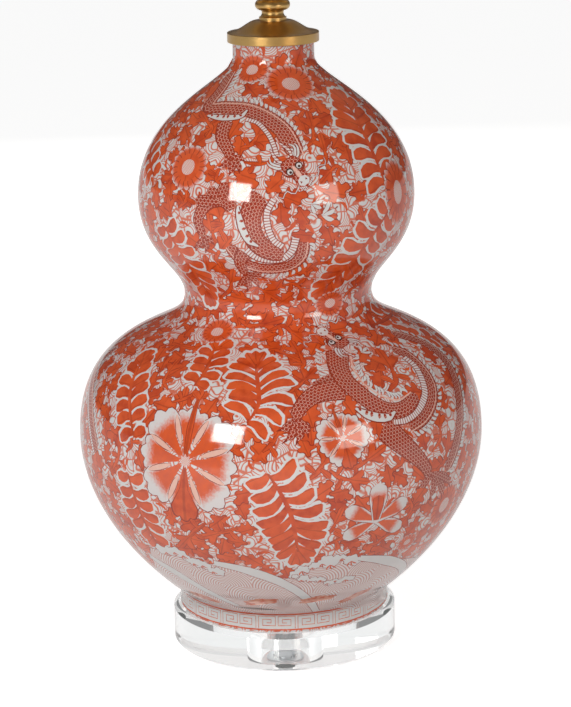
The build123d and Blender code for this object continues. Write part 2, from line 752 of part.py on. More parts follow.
front = Plane(origin=(0, 0, terminal_level), x_dir=(1, 0, 0), z_dir=(0, -1, 0))
with BuildPart() as switch_stem:
    with BuildSketch(front.offset(stem_inner + seat_gap)):
        Circle(stem_radius)
    extrude(amount=stem_reach - stem_inner)
write(switch_stem.part, "switch_stem")

# Moulded knob: a round collar on the stem with a flat wing to turn it by.
knob_start = shell_radius + knob_gap
with BuildPart() as switch_knob:
    with BuildSketch(front.offset(knob_start)):
        Circle(knob_radius)
    extrude(amount=knob_length / 3)
    with BuildSketch(front.offset(knob_start + knob_length / 3)):
        SlotOverall(knob_wing_length, knob_wing_width)
    extrude(amount=knob_length * 2 / 3)
    with BuildSketch(front.offset(knob_start)):
        Circle(stem_radius + seat_gap)
    extrude(amount=stem_reach - knob_start + 2 * seat_gap, mode=Mode.SUBTRACT)
    fillet(switch_knob.faces().sort_by(Axis.Y)[0].outer_wire().edges(), knob_rounding)
write(switch_knob.part, "switch_knob")

# ---- harp ---------------------------------------------------------------------------------

bow_level = harp_foot + harp_straight + harp_shoulder_drop

# Bent wire loop, flattened into an eye at the top for the stud.
with BuildPart() as harp:
    for side in (1, -1):
        with BuildLine(Plane.XZ):
            FilletPolyline((side * wire_axis, harp_foot), (side * wire_axis, harp_foot + harp_straight),
                           (side * harp_half_width, bow_level), (side * harp_half_width, harp_top),
                           (side * (harp_eye_radius - harp_weld), harp_top), radius=harp_bends)
        with BuildSketch(Plane.XY.offset(harp_foot)):
            with Locations((side * wire_axis, 0)):
                Circle(harp_wire_radius)
        sweep()
    with BuildSketch(Plane.XY.offset(eye_bottom)):
        Circle(harp_eye_radius)
    extrude(amount=harp_eye_thickness)
    with BuildSketch(Plane.XY.offset(eye_bottom - harp_wire_radius)):
        Circle(stud_rivet_radius + running_gap)
    extrude(amount=harp_eye_thickness + 2 * harp_wire_radius, mode=Mode.SUBTRACT)
write(harp.part, "harp")

# Stud riveted through the eye: a collar for the shade to sit on and a thread for the finial.
with BuildPart() as harp_stud:
    for radius, bottom, height in (
            (stud_head_radius, eye_bottom - stud_head_height, stud_head_height),
            (stud_rivet_radius, eye_bottom - seat_gap, harp_eye_thickness + 2 * seat_gap),
            (stud_collar_radius, eye_top, stud_collar_height),
            (stud_radius, eye_top + stud_collar_height - seat_gap, stud_height)):
        with BuildSketch(Plane.XY.offset(bottom)):
            Circle(radius)
        extrude(amount=height)
    chamfer(harp_stud.edges().filter_by(GeomType.CIRCLE).group_by(Axis.Z)[-1], stud_chamfer)
write(harp_stud.part, "harp_stud")


def harp_sleeve(side):
    """A thin ferrule that locks one foot of the harp to its tongue."""
    with BuildPart() as made:
        with BuildSketch(Plane.XY.offset(harp_foot)):
            with Locations((side * sleeve_axis, 0)):
                Circle(sleeve_bore + sleeve_metal)
                Circle(sleeve_bore, mode=Mode.SUBTRACT)
        extrude(amount=sleeve_height)
        fillet(made.edges().filter_by(GeomType.CIRCLE).group_by(Axis.Z)[-1].sort_by(SortBy.RADIUS)[-1],
               sleeve_rounding)
    return made


harp_sleeve_left = harp_sleeve(-1)
write(harp_sleeve_left.part, "harp_sleeve_left")
harp_sleeve_right = harp_sleeve(1)
write(harp_sleeve_right.part, "harp_sleeve_right")

# ---- shade --------------------------------------------------------------------------------

shade_slope = (shade_top_radius - shade_bottom_radius) / shade_height


def shade_radius(level):
    """Radius of the shade's outside at a level."""
    return shade_bottom_radius + (level - shade_bottom) * shade_slope


def shade_sheet(inset, thickness):
    """A conical sheet of the shade, a given way inside its outer face."""
    with BuildPart() as made:
        with BuildSketch(Plane.XZ):
            with BuildLine():
                Polyline((shade_bottom_radius - inset, shade_bottom), (shade_top_radius - inset, shade_top),
                         (shade_top_radius - inset - thickness, shade_top),
                         (shade_bottom_radius - inset - thickness, shade_bottom), close=True)
            make_face()
        revolve(axis=Axis.Z)
    return made


def shade_trim(edge, inward):
    """Folded tape over one edge of the shade, round its wire too."""
    past = edge - inward * trim_thickness
    outer_end = edge + inward * trim_height
    inner_end = edge + inward * trim_inner_height
    outer = sheet_gap + trim_thickness
    inner = fabric_thickness + liner_sheet + 5 * sheet_gap + 2 * shade_wire_radius
    with BuildPart() as made:
        with BuildSketch(Plane.XZ):
            with BuildLine():
                Polyline((shade_radius(past) + outer, past), (shade_radius(outer_end) + outer, outer_end),
                         (shade_radius(outer_end) + sheet_gap, outer_end),
                         (shade_radius(edge) + sheet_gap, edge), (shade_radius(edge) - inner, edge),
                         (shade_radius(inner_end) - inner, inner_end),
                         (shade_radius(inner_end) - inner - trim_thickness, inner_end),
                         (shade_radius(past) - inner - trim_thickness, past), close=True)
            make_face()
        revolve(axis=Axis.Z)
    return made


shade_fabric = shade_sheet(0, fabric_thickness)
write(shade_fabric.part, "shade_fabric")
shade_liner = shade_sheet(fabric_thickness + sheet_gap, liner_sheet)
write(shade_liner.part, "shade_liner")
shade_trim_bottom = shade_trim(shade_bottom, 1)
write(shade_trim_bottom.part, "shade_trim_bottom")

wire_inset = fabric_thickness + liner_sheet + 2 * sheet_gap + shade_wire_radius
lower_wire_level = shade_bottom + shade_wire_radius + sheet_gap
upper_wire_level = shade_top - shade_wire_radius - sheet_gap
with BuildPart() as shade_bottom_ring:
    with BuildSketch(Plane.XZ):
        with Locations((shade_radius(lower_wire_level) - wire_inset - sheet_gap, lower_wire_level)):
            Circle(shade_wire_radius)
    revolve(axis=Axis.Z)
write(shade_bottom_ring.part, "shade_bottom_ring")

# The top tape is notched inside where the three arms reach the ring.
upper_ring_radius = shade_radius(upper_wire_level) - wire_inset - 2 * sheet_gap
with BuildPart() as shade_trim_top:
    add(shade_trim(shade_top, -1).part)
    with BuildSketch(Plane.XY.offset(upper_wire_level + shade_wire_radius)):
        with PolarLocations(upper_ring_radius, spider_arms, start_angle=90):
            Rectangle(4 * shade_wire_radius, 2 * shade_wire_radius + arm_notch_room,
                      align=(Align.MAX, Align.CENTER))
    extrude(amount=-2 * trim_height, mode=Mode.SUBTRACT)
write(shade_trim_top.part, "shade_trim_top")

# Stamped washer that the harp's stud goes through, with the three arms brazed to its rim.
shade_hub = ring(hub_radius, hub_hole, hub_bottom, hub_thickness)
write(shade_hub.part, "shade_hub")

# Wire frame: three arms with an elbow, from the hub out to the ring in the shade's top edge.
arm_level = (hub_bottom + hub_top) / 2
arm_start = hub_radius + seat_gap
with BuildPart() as spider_arm:
    with BuildLine(Plane.XZ):
        FilletPolyline((arm_start, arm_level), (upper_ring_radius - spider_elbow, arm_level),
                       (upper_ring_radius, upper_wire_level), radius=spider_bend)
    with BuildSketch(Plane.YZ.offset(arm_start)):
        with Locations((0, arm_level)):
            Circle(shade_wire_radius)
    sweep()
with BuildPart() as shade_frame:
    with BuildSketch(Plane.XZ):
        with Locations((upper_ring_radius, upper_wire_level)):
            Circle(shade_wire_radius)
    revolve(axis=Axis.Z)
    with PolarLocations(0, spider_arms, start_angle=90):
        add(spider_arm.part)
write(shade_frame.part, "shade_frame")

# ---- finial -------------------------------------------------------------------------------

finial_insert = ring(insert_radius, stud_radius + running_gap, finial_bottom, insert_height)
write(finial_insert.part, "finial_insert")

# Turned brass base: a foot that clamps the hub, a slim neck and a cup for the ball.
crown_level = finial_base_top
ball_level = crown_level + math.sqrt(ball_radius ** 2 - finial_cup_radius ** 2)
with BuildPart() as finial_base:
    with BuildSketch(Plane.XZ):
        with BuildLine():
            foot_edge = Polyline((0, finial_bottom), (finial_foot_radius, finial_bottom),
                                 (finial_foot_radius, finial_bottom + finial_foot_height))
            waist_arc = ThreePointArc(foot_edge @ 1,
                                      (finial_neck_radius + finial_neck_flare,
                                       finial_bottom + finial_neck_level),
                                      (finial_cup_radius, crown_level - finial_cup_height))
            Polyline(waist_arc @ 1, (finial_cup_radius, crown_level), (0, crown_level), (0, finial_bottom))
        make_face()
    revolve(axis=Axis.Z)
    with BuildSketch(Plane.XY.offset(finial_bottom)):
        Circle(insert_radius + running_gap)
    extrude(amount=insert_height + finial_bore_past_insert, mode=Mode.SUBTRACT)
    with Locations((0, 0, ball_level)):
        Sphere(ball_radius + seat_gap, mode=Mode.SUBTRACT)
write(finial_base.part, "finial_base")

with BuildPart() as finial_ball:
    with Locations((0, 0, ball_level)):
        Sphere(ball_radius)
write(finial_ball.part, "finial_ball")

print("lead bend radius", lead_bend, "mm, turn", round(math.degrees(lead_turn), 1), "degrees")
print("total height", round(ball_level + ball_radius, 1), "mm, shade from", round(shade_bottom, 1),
      "to", round(shade_top, 1), "mm, socket mouth at", round(shell_top, 1), "mm")
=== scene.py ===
import math

import bmesh
import bpy
import numpy as np
from mathutils import Matrix, Vector, geometry


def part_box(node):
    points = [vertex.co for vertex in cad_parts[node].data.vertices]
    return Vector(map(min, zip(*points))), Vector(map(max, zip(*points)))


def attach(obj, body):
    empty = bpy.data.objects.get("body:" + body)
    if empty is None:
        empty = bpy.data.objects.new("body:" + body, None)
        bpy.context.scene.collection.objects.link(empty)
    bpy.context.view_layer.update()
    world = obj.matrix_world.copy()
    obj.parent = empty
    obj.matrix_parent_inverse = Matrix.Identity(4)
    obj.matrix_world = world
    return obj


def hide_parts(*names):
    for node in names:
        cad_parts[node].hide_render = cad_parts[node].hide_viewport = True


# Double gourd table lamp: an iron-red painted porcelain body on a clear acrylic disc, with brass
# fittings, a wire harp and a linen drum shade. Each section below is one piece or group of like pieces.

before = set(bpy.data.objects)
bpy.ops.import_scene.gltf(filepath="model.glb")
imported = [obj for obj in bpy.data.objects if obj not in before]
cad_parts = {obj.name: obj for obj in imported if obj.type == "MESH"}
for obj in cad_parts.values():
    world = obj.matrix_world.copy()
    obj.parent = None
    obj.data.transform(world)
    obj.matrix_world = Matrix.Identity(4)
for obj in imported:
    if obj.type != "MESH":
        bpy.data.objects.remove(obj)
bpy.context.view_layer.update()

# ---- camera -----------------------------------------------------------------------------------
# The photograph is taken from 1.6 m in front of the lamp, from above the body and tilted down. Its
# picture plane is turned about one degree, so that the lamp leans left.

MM = 0.001
PICTURE_WIDTH, PICTURE_HEIGHT = 571, 707
FOCAL_PIXELS = 2447.0
SENSOR = 36.0
camera_place = Vector((4.1, -1600.0, 609.35))
camera_pitch = math.radians(14.336)
camera_roll = math.radians(-1.1)

forward = Vector((0, math.cos(camera_pitch), -math.sin(camera_pitch)))
level_up = Vector((0, math.sin(camera_pitch), math.cos(camera_pitch)))
level_right = Vector((1, 0, 0))
camera_right = math.cos(camera_roll) * level_right + math.sin(camera_roll) * level_up
camera_up = math.cos(camera_roll) * level_up - math.sin(camera_roll) * level_right

camera_data = bpy.data.cameras.new("camera")
camera_data.sensor_width = SENSOR
camera_data.lens = FOCAL_PIXELS / PICTURE_HEIGHT * SENSOR
camera = bpy.data.objects.new("camera", camera_data)
camera.matrix_world = Matrix((
    (camera_right.x, camera_up.x, -forward.x, camera_place.x * MM),
    (camera_right.y, camera_up.y, -forward.y, camera_place.y * MM),
    (camera_right.z, camera_up.z, -forward.z, camera_place.z * MM),
    (0, 0, 0, 1)))
bpy.context.scene.collection.objects.link(camera)
bpy.context.scene.camera = camera
bpy.context.scene.view_settings.view_transform = "Standard"


def sight(px, py):
    """The direction in which the camera sees a point of the photograph."""
    across = px - PICTURE_WIDTH / 2
    rise = PICTURE_HEIGHT / 2 - py
    return (forward * FOCAL_PIXELS + camera_right * across + camera_up * rise).normalized()


# ---- studio -----------------------------------------------------------------------------------
# A pale floor under a white surround that lights the lamp softly from all round. The soft boxes at
# the front left and front right show as highlights in the glaze, and a third lights the back.


class Wire:
    """A socket of a shader that takes part in sums, so that a pattern is written as a formula."""

    def __init__(self, finish, socket):
        self.finish = finish
        self.socket = socket

    def math(self, operation, *others):
        values = dict(enumerate((self,) + others))
        return self.finish.add("ShaderNodeMath", {"operation": operation}, values)

    def __add__(self, other):
        return self.math("ADD", other)

    def __sub__(self, other):
        return self.math("SUBTRACT", other)

    def __mul__(self, other):
        return self.math("MULTIPLY", other)

    def __truediv__(self, other):
        return self.math("DIVIDE", other)

    def __pow__(self, other):
        return self.math("POWER", other)

    def __mod__(self, other):
        return self.math("FLOORED_MODULO", other)

    def __abs__(self):
        return self.math("ABSOLUTE")

    def __rsub__(self, other):
        return self.math("MULTIPLY_ADD", -1.0, other)

    __radd__ = __add__
    __rmul__ = __mul__

    def step(self, low, high):
        """0 below low, 1 above high and smooth between."""
        return self.finish.add("ShaderNodeMapRange", {"interpolation_type": "SMOOTHSTEP"},
                               {"Value": self, "From Min": low, "From Max": high})


class Finish:
    """The node tree of a material or of the world."""

    def __init__(self, owner):
        owner.use_nodes = True
        self.owner = owner
        self.tree = owner.node_tree
        self.tree.nodes.clear()

    def add(self, kind, settings=None, values=None, out=0):
        """Any node: its settings first, then the values or wires of its inputs."""
        node = self.tree.nodes.new(kind)
        for name, value in (settings or {}).items():
            setattr(node, name, value)
        for name, value in (values or {}).items():
            socket = node.inputs[name] if isinstance(name, int) else self.find(node.inputs, name)
            if isinstance(value, Wire):
                self.tree.links.new(value.socket, socket)
            else:
                socket.default_value = value
        return Wire(self, self.find(node.outputs, out) if isinstance(out, str) else node.outputs[out])

    @staticmethod
    def find(sockets, name):
        return next((s for s in sockets if s.identifier == name), None) or sockets[name]

    def blend(self, share, first, second):
        """first where share is 0, second where it is 1."""
        return self.add("ShaderNodeMix", {"data_type": "RGBA"},
                        {"Factor_Float": share, "A_Color": first, "B_Color": second}, "Result_Color")

    def points(self):
        """Places in the lamp's own frame, in metres."""
        return self.add("ShaderNodeTexCoord", out="Object")

    def noise(self, scale, detail=3.0, vector=None):
        return self.add("ShaderNodeTexNoise", None,
                        {"Vector": vector or self.points(), "Scale": scale, "Detail": detail}, "Fac")

    def parts(self, vector):
        """The three numbers of a vector."""
        node = self.add("ShaderNodeSeparateXYZ", None, {"Vector": vector}).socket.node
        return [Wire(self, socket) for socket in node.outputs]

    def bump(self, height, strength, distance):
        return self.add("ShaderNodeBump", None,
                        {"Height": height, "Strength": strength, "Distance": distance})

    def surface(self, shader):
        kind = "World" if isinstance(self.owner, bpy.types.World) else "Material"
        output = self.tree.nodes.new("ShaderNodeOutput" + kind)
        self.tree.links.new(shader.socket, output.inputs["Surface"])
        return self.owner

    def body(self, **values):
        """The principled surface of the material, its sockets named with _ for a space."""
        named = {name.replace("_", " "): value for name, value in values.items()}
        return self.surface(self.add("ShaderNodeBsdfPrincipled", None, named))


def finish_named(name):
    """A new material, ready for its nodes."""
    return Finish(bpy.data.materials.new(name))


def tint(red, green, blue):
    """A colour as it is seen on a screen, 0 to 255 each, as a shader takes it."""
    def linear(value):
        value = value / 255
        return value / 12.92 if value <= 0.04045 else ((value + 0.055) / 1.055) ** 2.4
    return (linear(red), linear(green), linear(blue), 1.0)


SURROUND_FILL = 0.31            # the light that the surround casts
SURROUND_GLOSS = 0.25           # how bright it is in a reflection
DARK_BEHIND = 0.65              # the share of that which it loses behind the lamp
FLOOR_SIZE = 60.0
FLOOR_GLOW = 0.42               # what makes the floor white to look at, in a reflection and through glass
FLOOR_VIEW_GLOW = 0.29          # added where it is looked at
FLOOR_GLOSS_LESS = 0.03         # taken off in a reflection
BODY_MIDDLE = (0, 0, 0.28)

surround = Finish(bpy.data.worlds.new("surround"))
bpy.context.scene.world = surround.owner
seen_straight = surround.add("ShaderNodeLightPath", out="Is Camera Ray")
seen_in_gloss = surround.add("ShaderNodeLightPath", out="Is Glossy Ray")
seen_through = surround.add("ShaderNodeLightPath", out="Is Transmission Ray")
open_view = seen_straight.math("MAXIMUM", seen_through)
level = open_view * (1 - SURROUND_FILL) + SURROUND_FILL
behind = surround.parts(surround.add("ShaderNodeTexCoord", out="Generated"))[1].step(0.1, 0.7)
gloss_level = seen_in_gloss * (SURROUND_GLOSS * (1 - behind * DARK_BEHIND) - SURROUND_FILL)
surround.surface(surround.add("ShaderNodeBackground", None,
                              {"Color": (1, 1, 1, 1), "Strength": level + gloss_level}))

floor_mesh = bpy.data.meshes.new("floor")
half = FLOOR_SIZE / 2
floor_mesh.from_pydata([(-half, -half, 0), (half, -half, 0), (half, half, 0), (-half, half, 0)], [],
                       [(0, 1, 2, 3)])
floor = bpy.data.objects.new("floor", floor_mesh)
bpy.context.scene.collection.objects.link(floor)
pale = finish_named("pale_floor")
in_view = pale.add("ShaderNodeLightPath", out="Is Camera Ray")
in_gloss = pale.add("ShaderNodeLightPath", out="Is Glossy Ray")
through = pale.add("ShaderNodeLightPath", out="Is Transmission Ray")
glow = pale.add("ShaderNodeEmission", None, {
    "Color": (1, 1, 1, 1),
    "Strength": in_view.math("MAXIMUM", in_gloss).math("MAXIMUM", through) * FLOOR_GLOW
    + in_view * FLOOR_VIEW_GLOW - in_gloss * FLOOR_GLOSS_LESS})
matt = pale.add("ShaderNodeBsdfDiffuse", None, {"Color": tint(226, 226, 226)})
pale.surface(pale.add("ShaderNodeAddShader", None, {0: glow, 1: matt}))
floor_mesh.materials.append(pale.owner)


def soft_box(name, place, aim, width, height, watts, colour):
    """A rectangular studio light, placed and aimed in metres."""
    data = bpy.data.lights.new(name, "AREA")
    data.shape = "RECTANGLE"
    data.size = width
    data.size_y = height
    data.energy = watts
    data.color = colour
    lamp = bpy.data.objects.new(name, data)
    lamp.location = place
    lamp.rotation_euler = (Vector(aim) - Vector(place)).to_track_quat("-Z", "Y").to_euler()
    bpy.context.scene.collection.objects.link(lamp)
    return lamp


soft_box("key_box", (-0.70, -1.22, 0.73), BODY_MIDDLE, 0.43, 0.47, 10.6, (1, 0.97, 0.93))
soft_box("side_box", (1.30, -1.45, 0.72), BODY_MIDDLE, 0.70, 0.70, 7.5, (1, 0.88, 0.79))
back_box = soft_box("back_box", (-0.15, 1.90, 0.95), (0, 0, 0.35), 1.00, 1.00, 7.5, (1, 0.96, 0.92))
back_box.visible_glossy = False

# ---- acrylic disc and bumpers -----------------------------------------------------------------
# A stock clear acrylic disc with polished faces and bevels, recessed below for the clamping nut. It
# stands on four clear stick-on bumpers.


def dress(finish, *names):
    """Gives pieces that keep their built shape their finish."""
    for name in names:
        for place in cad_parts[name].material_slots:
            place.material = finish


ACRYLIC_GLOW = 0.04             # stands for the light that a thick disc gathers at its edge
clear = finish_named("clear_acrylic")
brushed = clear.add("ShaderNodeMapping", None, {"Vector": clear.points(), "Scale": (1, 0.06, 1)})
hairlines = clear.noise(900, 2, vector=brushed)
acrylic = clear.body(Base_Color=tint(250, 252, 252), Transmission_Weight=1.0, IOR=1.49,
                     Roughness=hairlines.step(0.62, 0.72) * 0.05 + 0.005,
                     Emission_Color=(1, 1, 1, 1), Emission_Strength=ACRYLIC_GLOW)
dress(acrylic, "base_disc")
soft_clear = finish_named("soft_bumper")
bumper_tone = soft_clear.blend(soft_clear.noise(300), tint(214, 218, 216), tint(236, 238, 236))
dress(soft_clear.body(Base_Color=bumper_tone, Transmission_Weight=0.6, IOR=1.48, Roughness=0.34),
      "base_bumpers")

# ---- gourd body -------------------------------------------------------------------------------
# Slip-cast porcelain on a foot ring, glazed cool white and painted all over in iron red: two
# dragons among fern fronds, flowers and vine scrolls, waves at the foot and a Greek key round it.

BODY_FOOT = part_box("gourd_body")[0].z / MM
FOOT_RADIUS, FOOT_RING = 71.4, 13.0
BELLY_RADIUS, BELLY_HEIGHT = 136.2, 122.0
WAIST_RADIUS, WAIST_HEIGHT = 62.6, 217.5
BULB_RADIUS, BULB_HEIGHT = 91.8, 283.0
NECK_RADIUS, NECK_HEIGHT = 26.7, 373.8
RIM_HEIGHT = 388.0
WALL = 5.5
FLARE_ANGLE, FLARE_LENGTH = math.radians(51.6), 45.3
FLARE = Vector((math.sin(FLARE_ANGLE), math.cos(FLARE_ANGLE))) * FLARE_LENGTH
BELOW_BELLY, ABOVE_BELLY, BELOW_WAIST, ABOVE_WAIST = 41.0, 81.0, 29.2, 18.6     # handles of the curves
BELOW_BULB, ABOVE_BULB, BELOW_NECK = 37.0, 57.4, 14.4
ROWS = 70                       # steps up the body
TURNS = 120                     # steps round the body
UNROLL = 90.0                   # radius at which the skin is laid out flat
SEAM = math.radians(-110)       # where it is slit for that
SLIT = SEAM * UNROLL
LAP = 2 * math.pi * UNROLL
SKIN_MARGIN = 0.3               # how near the painting comes to the skin's foot and rim


def bent(points, steps):
    """Points along a cubic curve."""
    t = np.linspace(0, 1, steps)[:, None]
    a, b, c, d = (np.array(p, float) for p in points)
    return (1 - t) ** 3 * a + 3 * t * (1 - t) ** 2 * b + 3 * t ** 2 * (1 - t) * c + t ** 3 * d


foot_corner = (FOOT_RADIUS, FOOT_RING)
belly = (BELLY_RADIUS, BELLY_HEIGHT)
waist = (WAIST_RADIUS, WAIST_HEIGHT)
bulb = (BULB_RADIUS, BULB_HEIGHT)
neck = (NECK_RADIUS, NECK_HEIGHT)
skin_curves = [
    bent((foot_corner, (FOOT_RADIUS + FLARE.x, FOOT_RING + FLARE.y),
          (BELLY_RADIUS, BELLY_HEIGHT - BELOW_BELLY), belly), 80),
    bent((belly, (BELLY_RADIUS, BELLY_HEIGHT + ABOVE_BELLY), (WAIST_RADIUS, WAIST_HEIGHT - BELOW_WAIST),
          waist), 80),
    bent((waist, (WAIST_RADIUS, WAIST_HEIGHT + ABOVE_WAIST), (BULB_RADIUS, BULB_HEIGHT - BELOW_BULB),
          bulb), 60),
    bent((bulb, (BULB_RADIUS, BULB_HEIGHT + ABOVE_BULB), (NECK_RADIUS, NECK_HEIGHT - BELOW_NECK), neck), 80)]
FOOT_EDGE, RIM_EDGE = 1.0, 1.6
outline = np.vstack([[(FOOT_RADIUS, FOOT_EDGE)], *[curve[:-1] for curve in skin_curves], [neck],
                     [(NECK_RADIUS, RIM_HEIGHT - RIM_EDGE)]])
arc = np.concatenate([[0], np.cumsum(np.hypot(*np.diff(outline, axis=0).T))])
TOP = arc[-1]
slope = np.gradient(outline, arc, axis=0)
slope /= np.hypot(slope[:, 0], slope[:, 1])[:, None]


def radius_at(v):
    """The body's radius at a distance up its skin."""
    return np.interp(v, arc, outline[:, 0])


def skin_place(v, angle):
    """Points on the outside of the body, in millimetres, and the way that it faces there."""
    r, h = radius_at(v), np.interp(v, arc, outline[:, 1])
    along_r, along_h = np.interp(v, arc, slope[:, 0]), np.interp(v, arc, slope[:, 1])
    size = np.hypot(along_r, along_h)
    out, up = along_h / size, -along_r / size
    points = np.column_stack((r * np.sin(angle), -r * np.cos(angle), h + BODY_FOOT))
    facing = np.column_stack((out * np.sin(angle), -out * np.cos(angle), up))
    return points, facing


NEAREST, FURTHEST, STRIDE = 1350.0, 1760.0, 2.0     # where a line of sight can meet the body
INWARD_STEP = 1.5                                   # pixels, for a point just off the body's outline


def on_skin(px, py):
    """Where the camera sees a point of the photograph on the body: (way round, way up) when unrolled."""
    ray = sight(px, py)
    near, far = NEAREST, None
    for reach in np.arange(NEAREST, FURTHEST, STRIDE):
        p = camera_place + ray * reach
        if math.hypot(p.x, p.y) < np.interp(p.z - BODY_FOOT, outline[:, 1], outline[:, 0], 0, 0):
            far = reach
            break
        near = reach
    if far is None:
        return on_skin(px + math.copysign(INWARD_STEP, PICTURE_WIDTH / 2 - px), py)
    for _ in range(14):
        middle = (near + far) / 2
        p = camera_place + ray * middle
        if math.hypot(p.x, p.y) < np.interp(p.z - BODY_FOOT, outline[:, 1], outline[:, 0]):
            far = middle
        else:
            near = middle
    return math.atan2(p.x, -p.y) * UNROLL, float(np.interp(p.z - BODY_FOOT, outline[:, 1], arc))


# The painting is a list of shapes on the unrolled skin, each laid over those before it.
KINDS = ["ground", "leaf", "petal", "ink", "scales", "plates", "reserve", "water", "wash", "soft",
         "eye", "core"]
shapes = []
layout_turn, layout_flip = 0.0, 1


def lay(points):
    """Front-view places carried to where this copy of the layout is, such as the back."""
    points = np.array(points, float).reshape(-1, 2)
    return np.column_stack((points[:, 0] * layout_flip + layout_turn * UNROLL, points[:, 1]))


def seen(*pixels):
    """Points of the photograph as places on the skin, in this copy of the layout."""
    return lay([on_skin(*p) for p in pixels])


def spread(points, origin):
    """Offsets from a place on the skin in real millimetres, round and up."""
    away = points - origin
    away[..., 0] *= radius_at(points[..., 1]) / UNROLL
    return away


def grid(origin, offsets, tilt=0.0, flip=1):
    """Places on the skin from offsets in millimetres about a place, turned by tilt degrees."""
    offsets = np.array(offsets, float).reshape(-1, 2)
    c, s = math.cos(math.radians(tilt)), math.sin(math.radians(tilt))
    x = (offsets[:, 0] * c - offsets[:, 1] * s) * flip
    y = offsets[:, 0] * s + offsets[:, 1] * c
    v = np.clip(origin[1] + y, SKIN_MARGIN, TOP - SKIN_MARGIN)
    return np.column_stack((origin[0] + x * UNROLL / radius_at(v), v))


def copied(origin, offsets, tilt=0.0):
    """Places like those of grid, mirrored where this copy of the layout is."""
    return grid(origin, offsets, tilt, layout_flip)


def brush(kind, shape, base=None, tip=None, spine=None):
    """Adds a painted shape. base and tip give its own grain: how far along and across it a point is."""
    shape = np.array(shape, float)
    shape[:, 1] = np.clip(shape[:, 1], SKIN_MARGIN, TOP - SKIN_MARGIN)
    base = shape.mean(0) if base is None else np.array(base, float)
    if tip is None:
        grain = np.array((0.0, 1.0))
    else:
        grain = spread(np.array(tip, float), base)
        grain = grain / max(grain @ grain, 1e-9)
    shapes.append({"kind": KINDS.index(kind), "shape": shape, "base": base, "grain": grain, "spine": spine})


def smooth(points, count):
    """An even curve through points on the skin."""
    p = np.array(points, float)
    if len(p) < 3:
        t = np.linspace(0, 1, count)[:, None]
        return p[0] * (1 - t) + p[-1] * t
    p = np.vstack([2 * p[0] - p[1], p, 2 * p[-1] - p[-2]])
    steps = max(4, 3 * count // (len(p) - 3))
    t = np.linspace(0, 1, steps, endpoint=False)[:, None]
    runs = []
    for a, b, c, d in zip(p, p[1:], p[2:], p[3:]):
        runs.append(0.5 * (2 * b + (c - a) * t + (2 * a - 5 * b + 4 * c - d) * t ** 2
                           + (3 * b - a - 3 * c + d) * t ** 3))
    line = np.vstack(runs + [p[-2:-1]])
    length = np.concatenate([[0], np.cumsum(np.hypot(*np.diff(line, axis=0).T))])
    at = np.linspace(0, length[-1], count)
    return np.column_stack((np.interp(at, length, line[:, 0]), np.interp(at, length, line[:, 1])))


def normals(line):
    """Unit steps to the left of a line, as places on the skin for one real millimetre."""
    round_scale = radius_at(line[:, 1]) / UNROLL
    run = np.gradient(line, axis=0)
    run[:, 0] *= round_scale
    run /= np.maximum(np.hypot(run[:, 0], run[:, 1]), 1e-9)[:, None]
    return np.column_stack((-run[:, 1] / round_scale, run[:, 0]))


def band(line, low, high):
    """The shape between two offsets to the left of a line, in millimetres."""
    left = normals(line)
    low = np.broadcast_to(low, len(line))[:, None]
    high = np.broadcast_to(high, len(line))[:, None]
    return np.vstack([line + left * low, (line + left * high)[::-1]])


def stroke(line, width, sharp=0.0):
    """A brush stroke along a line: full in the middle, narrow at both ends."""
    t = np.linspace(0.04, 0.96, len(line))
    half = width / 2 * np.maximum(sharp, np.sin(math.pi * t) ** 0.6)
    return band(line, -half, half)


def blade(root, crest, tip, width, count=7):
    """A leaflet bent over its crest: narrow at the root and round at the tip."""
    t = np.linspace(0, 1, count)[:, None]
    line = (1 - t) ** 2 * root + 2 * t * (1 - t) * crest + t ** 2 * tip
    t = t[:, 0]
    opening = 0.45 + 0.55 * np.clip(t / 0.5, 0, 1)
    half = width / 2 * opening * np.sqrt(1 - np.clip((t - 0.72) / 0.285, 0, 1) ** 2)
    return band(line, -half, half)


def draw_blade(kind, root, crest, tip, width, edge=0.0, count=7):
    """A leaflet in one paint, over a dark edge where it has one."""
    if edge:
        brush("ink", blade(root, crest, tip, width + edge, count))
    if kind == "scales":
        brush(kind, blade(root, crest, tip, width, count), spine=np.array([root, tip]))
    else:
        brush(kind, blade(root, crest, tip, width, count), root, tip)


FAN = 3                         # leaflets in the fan at a frond's end


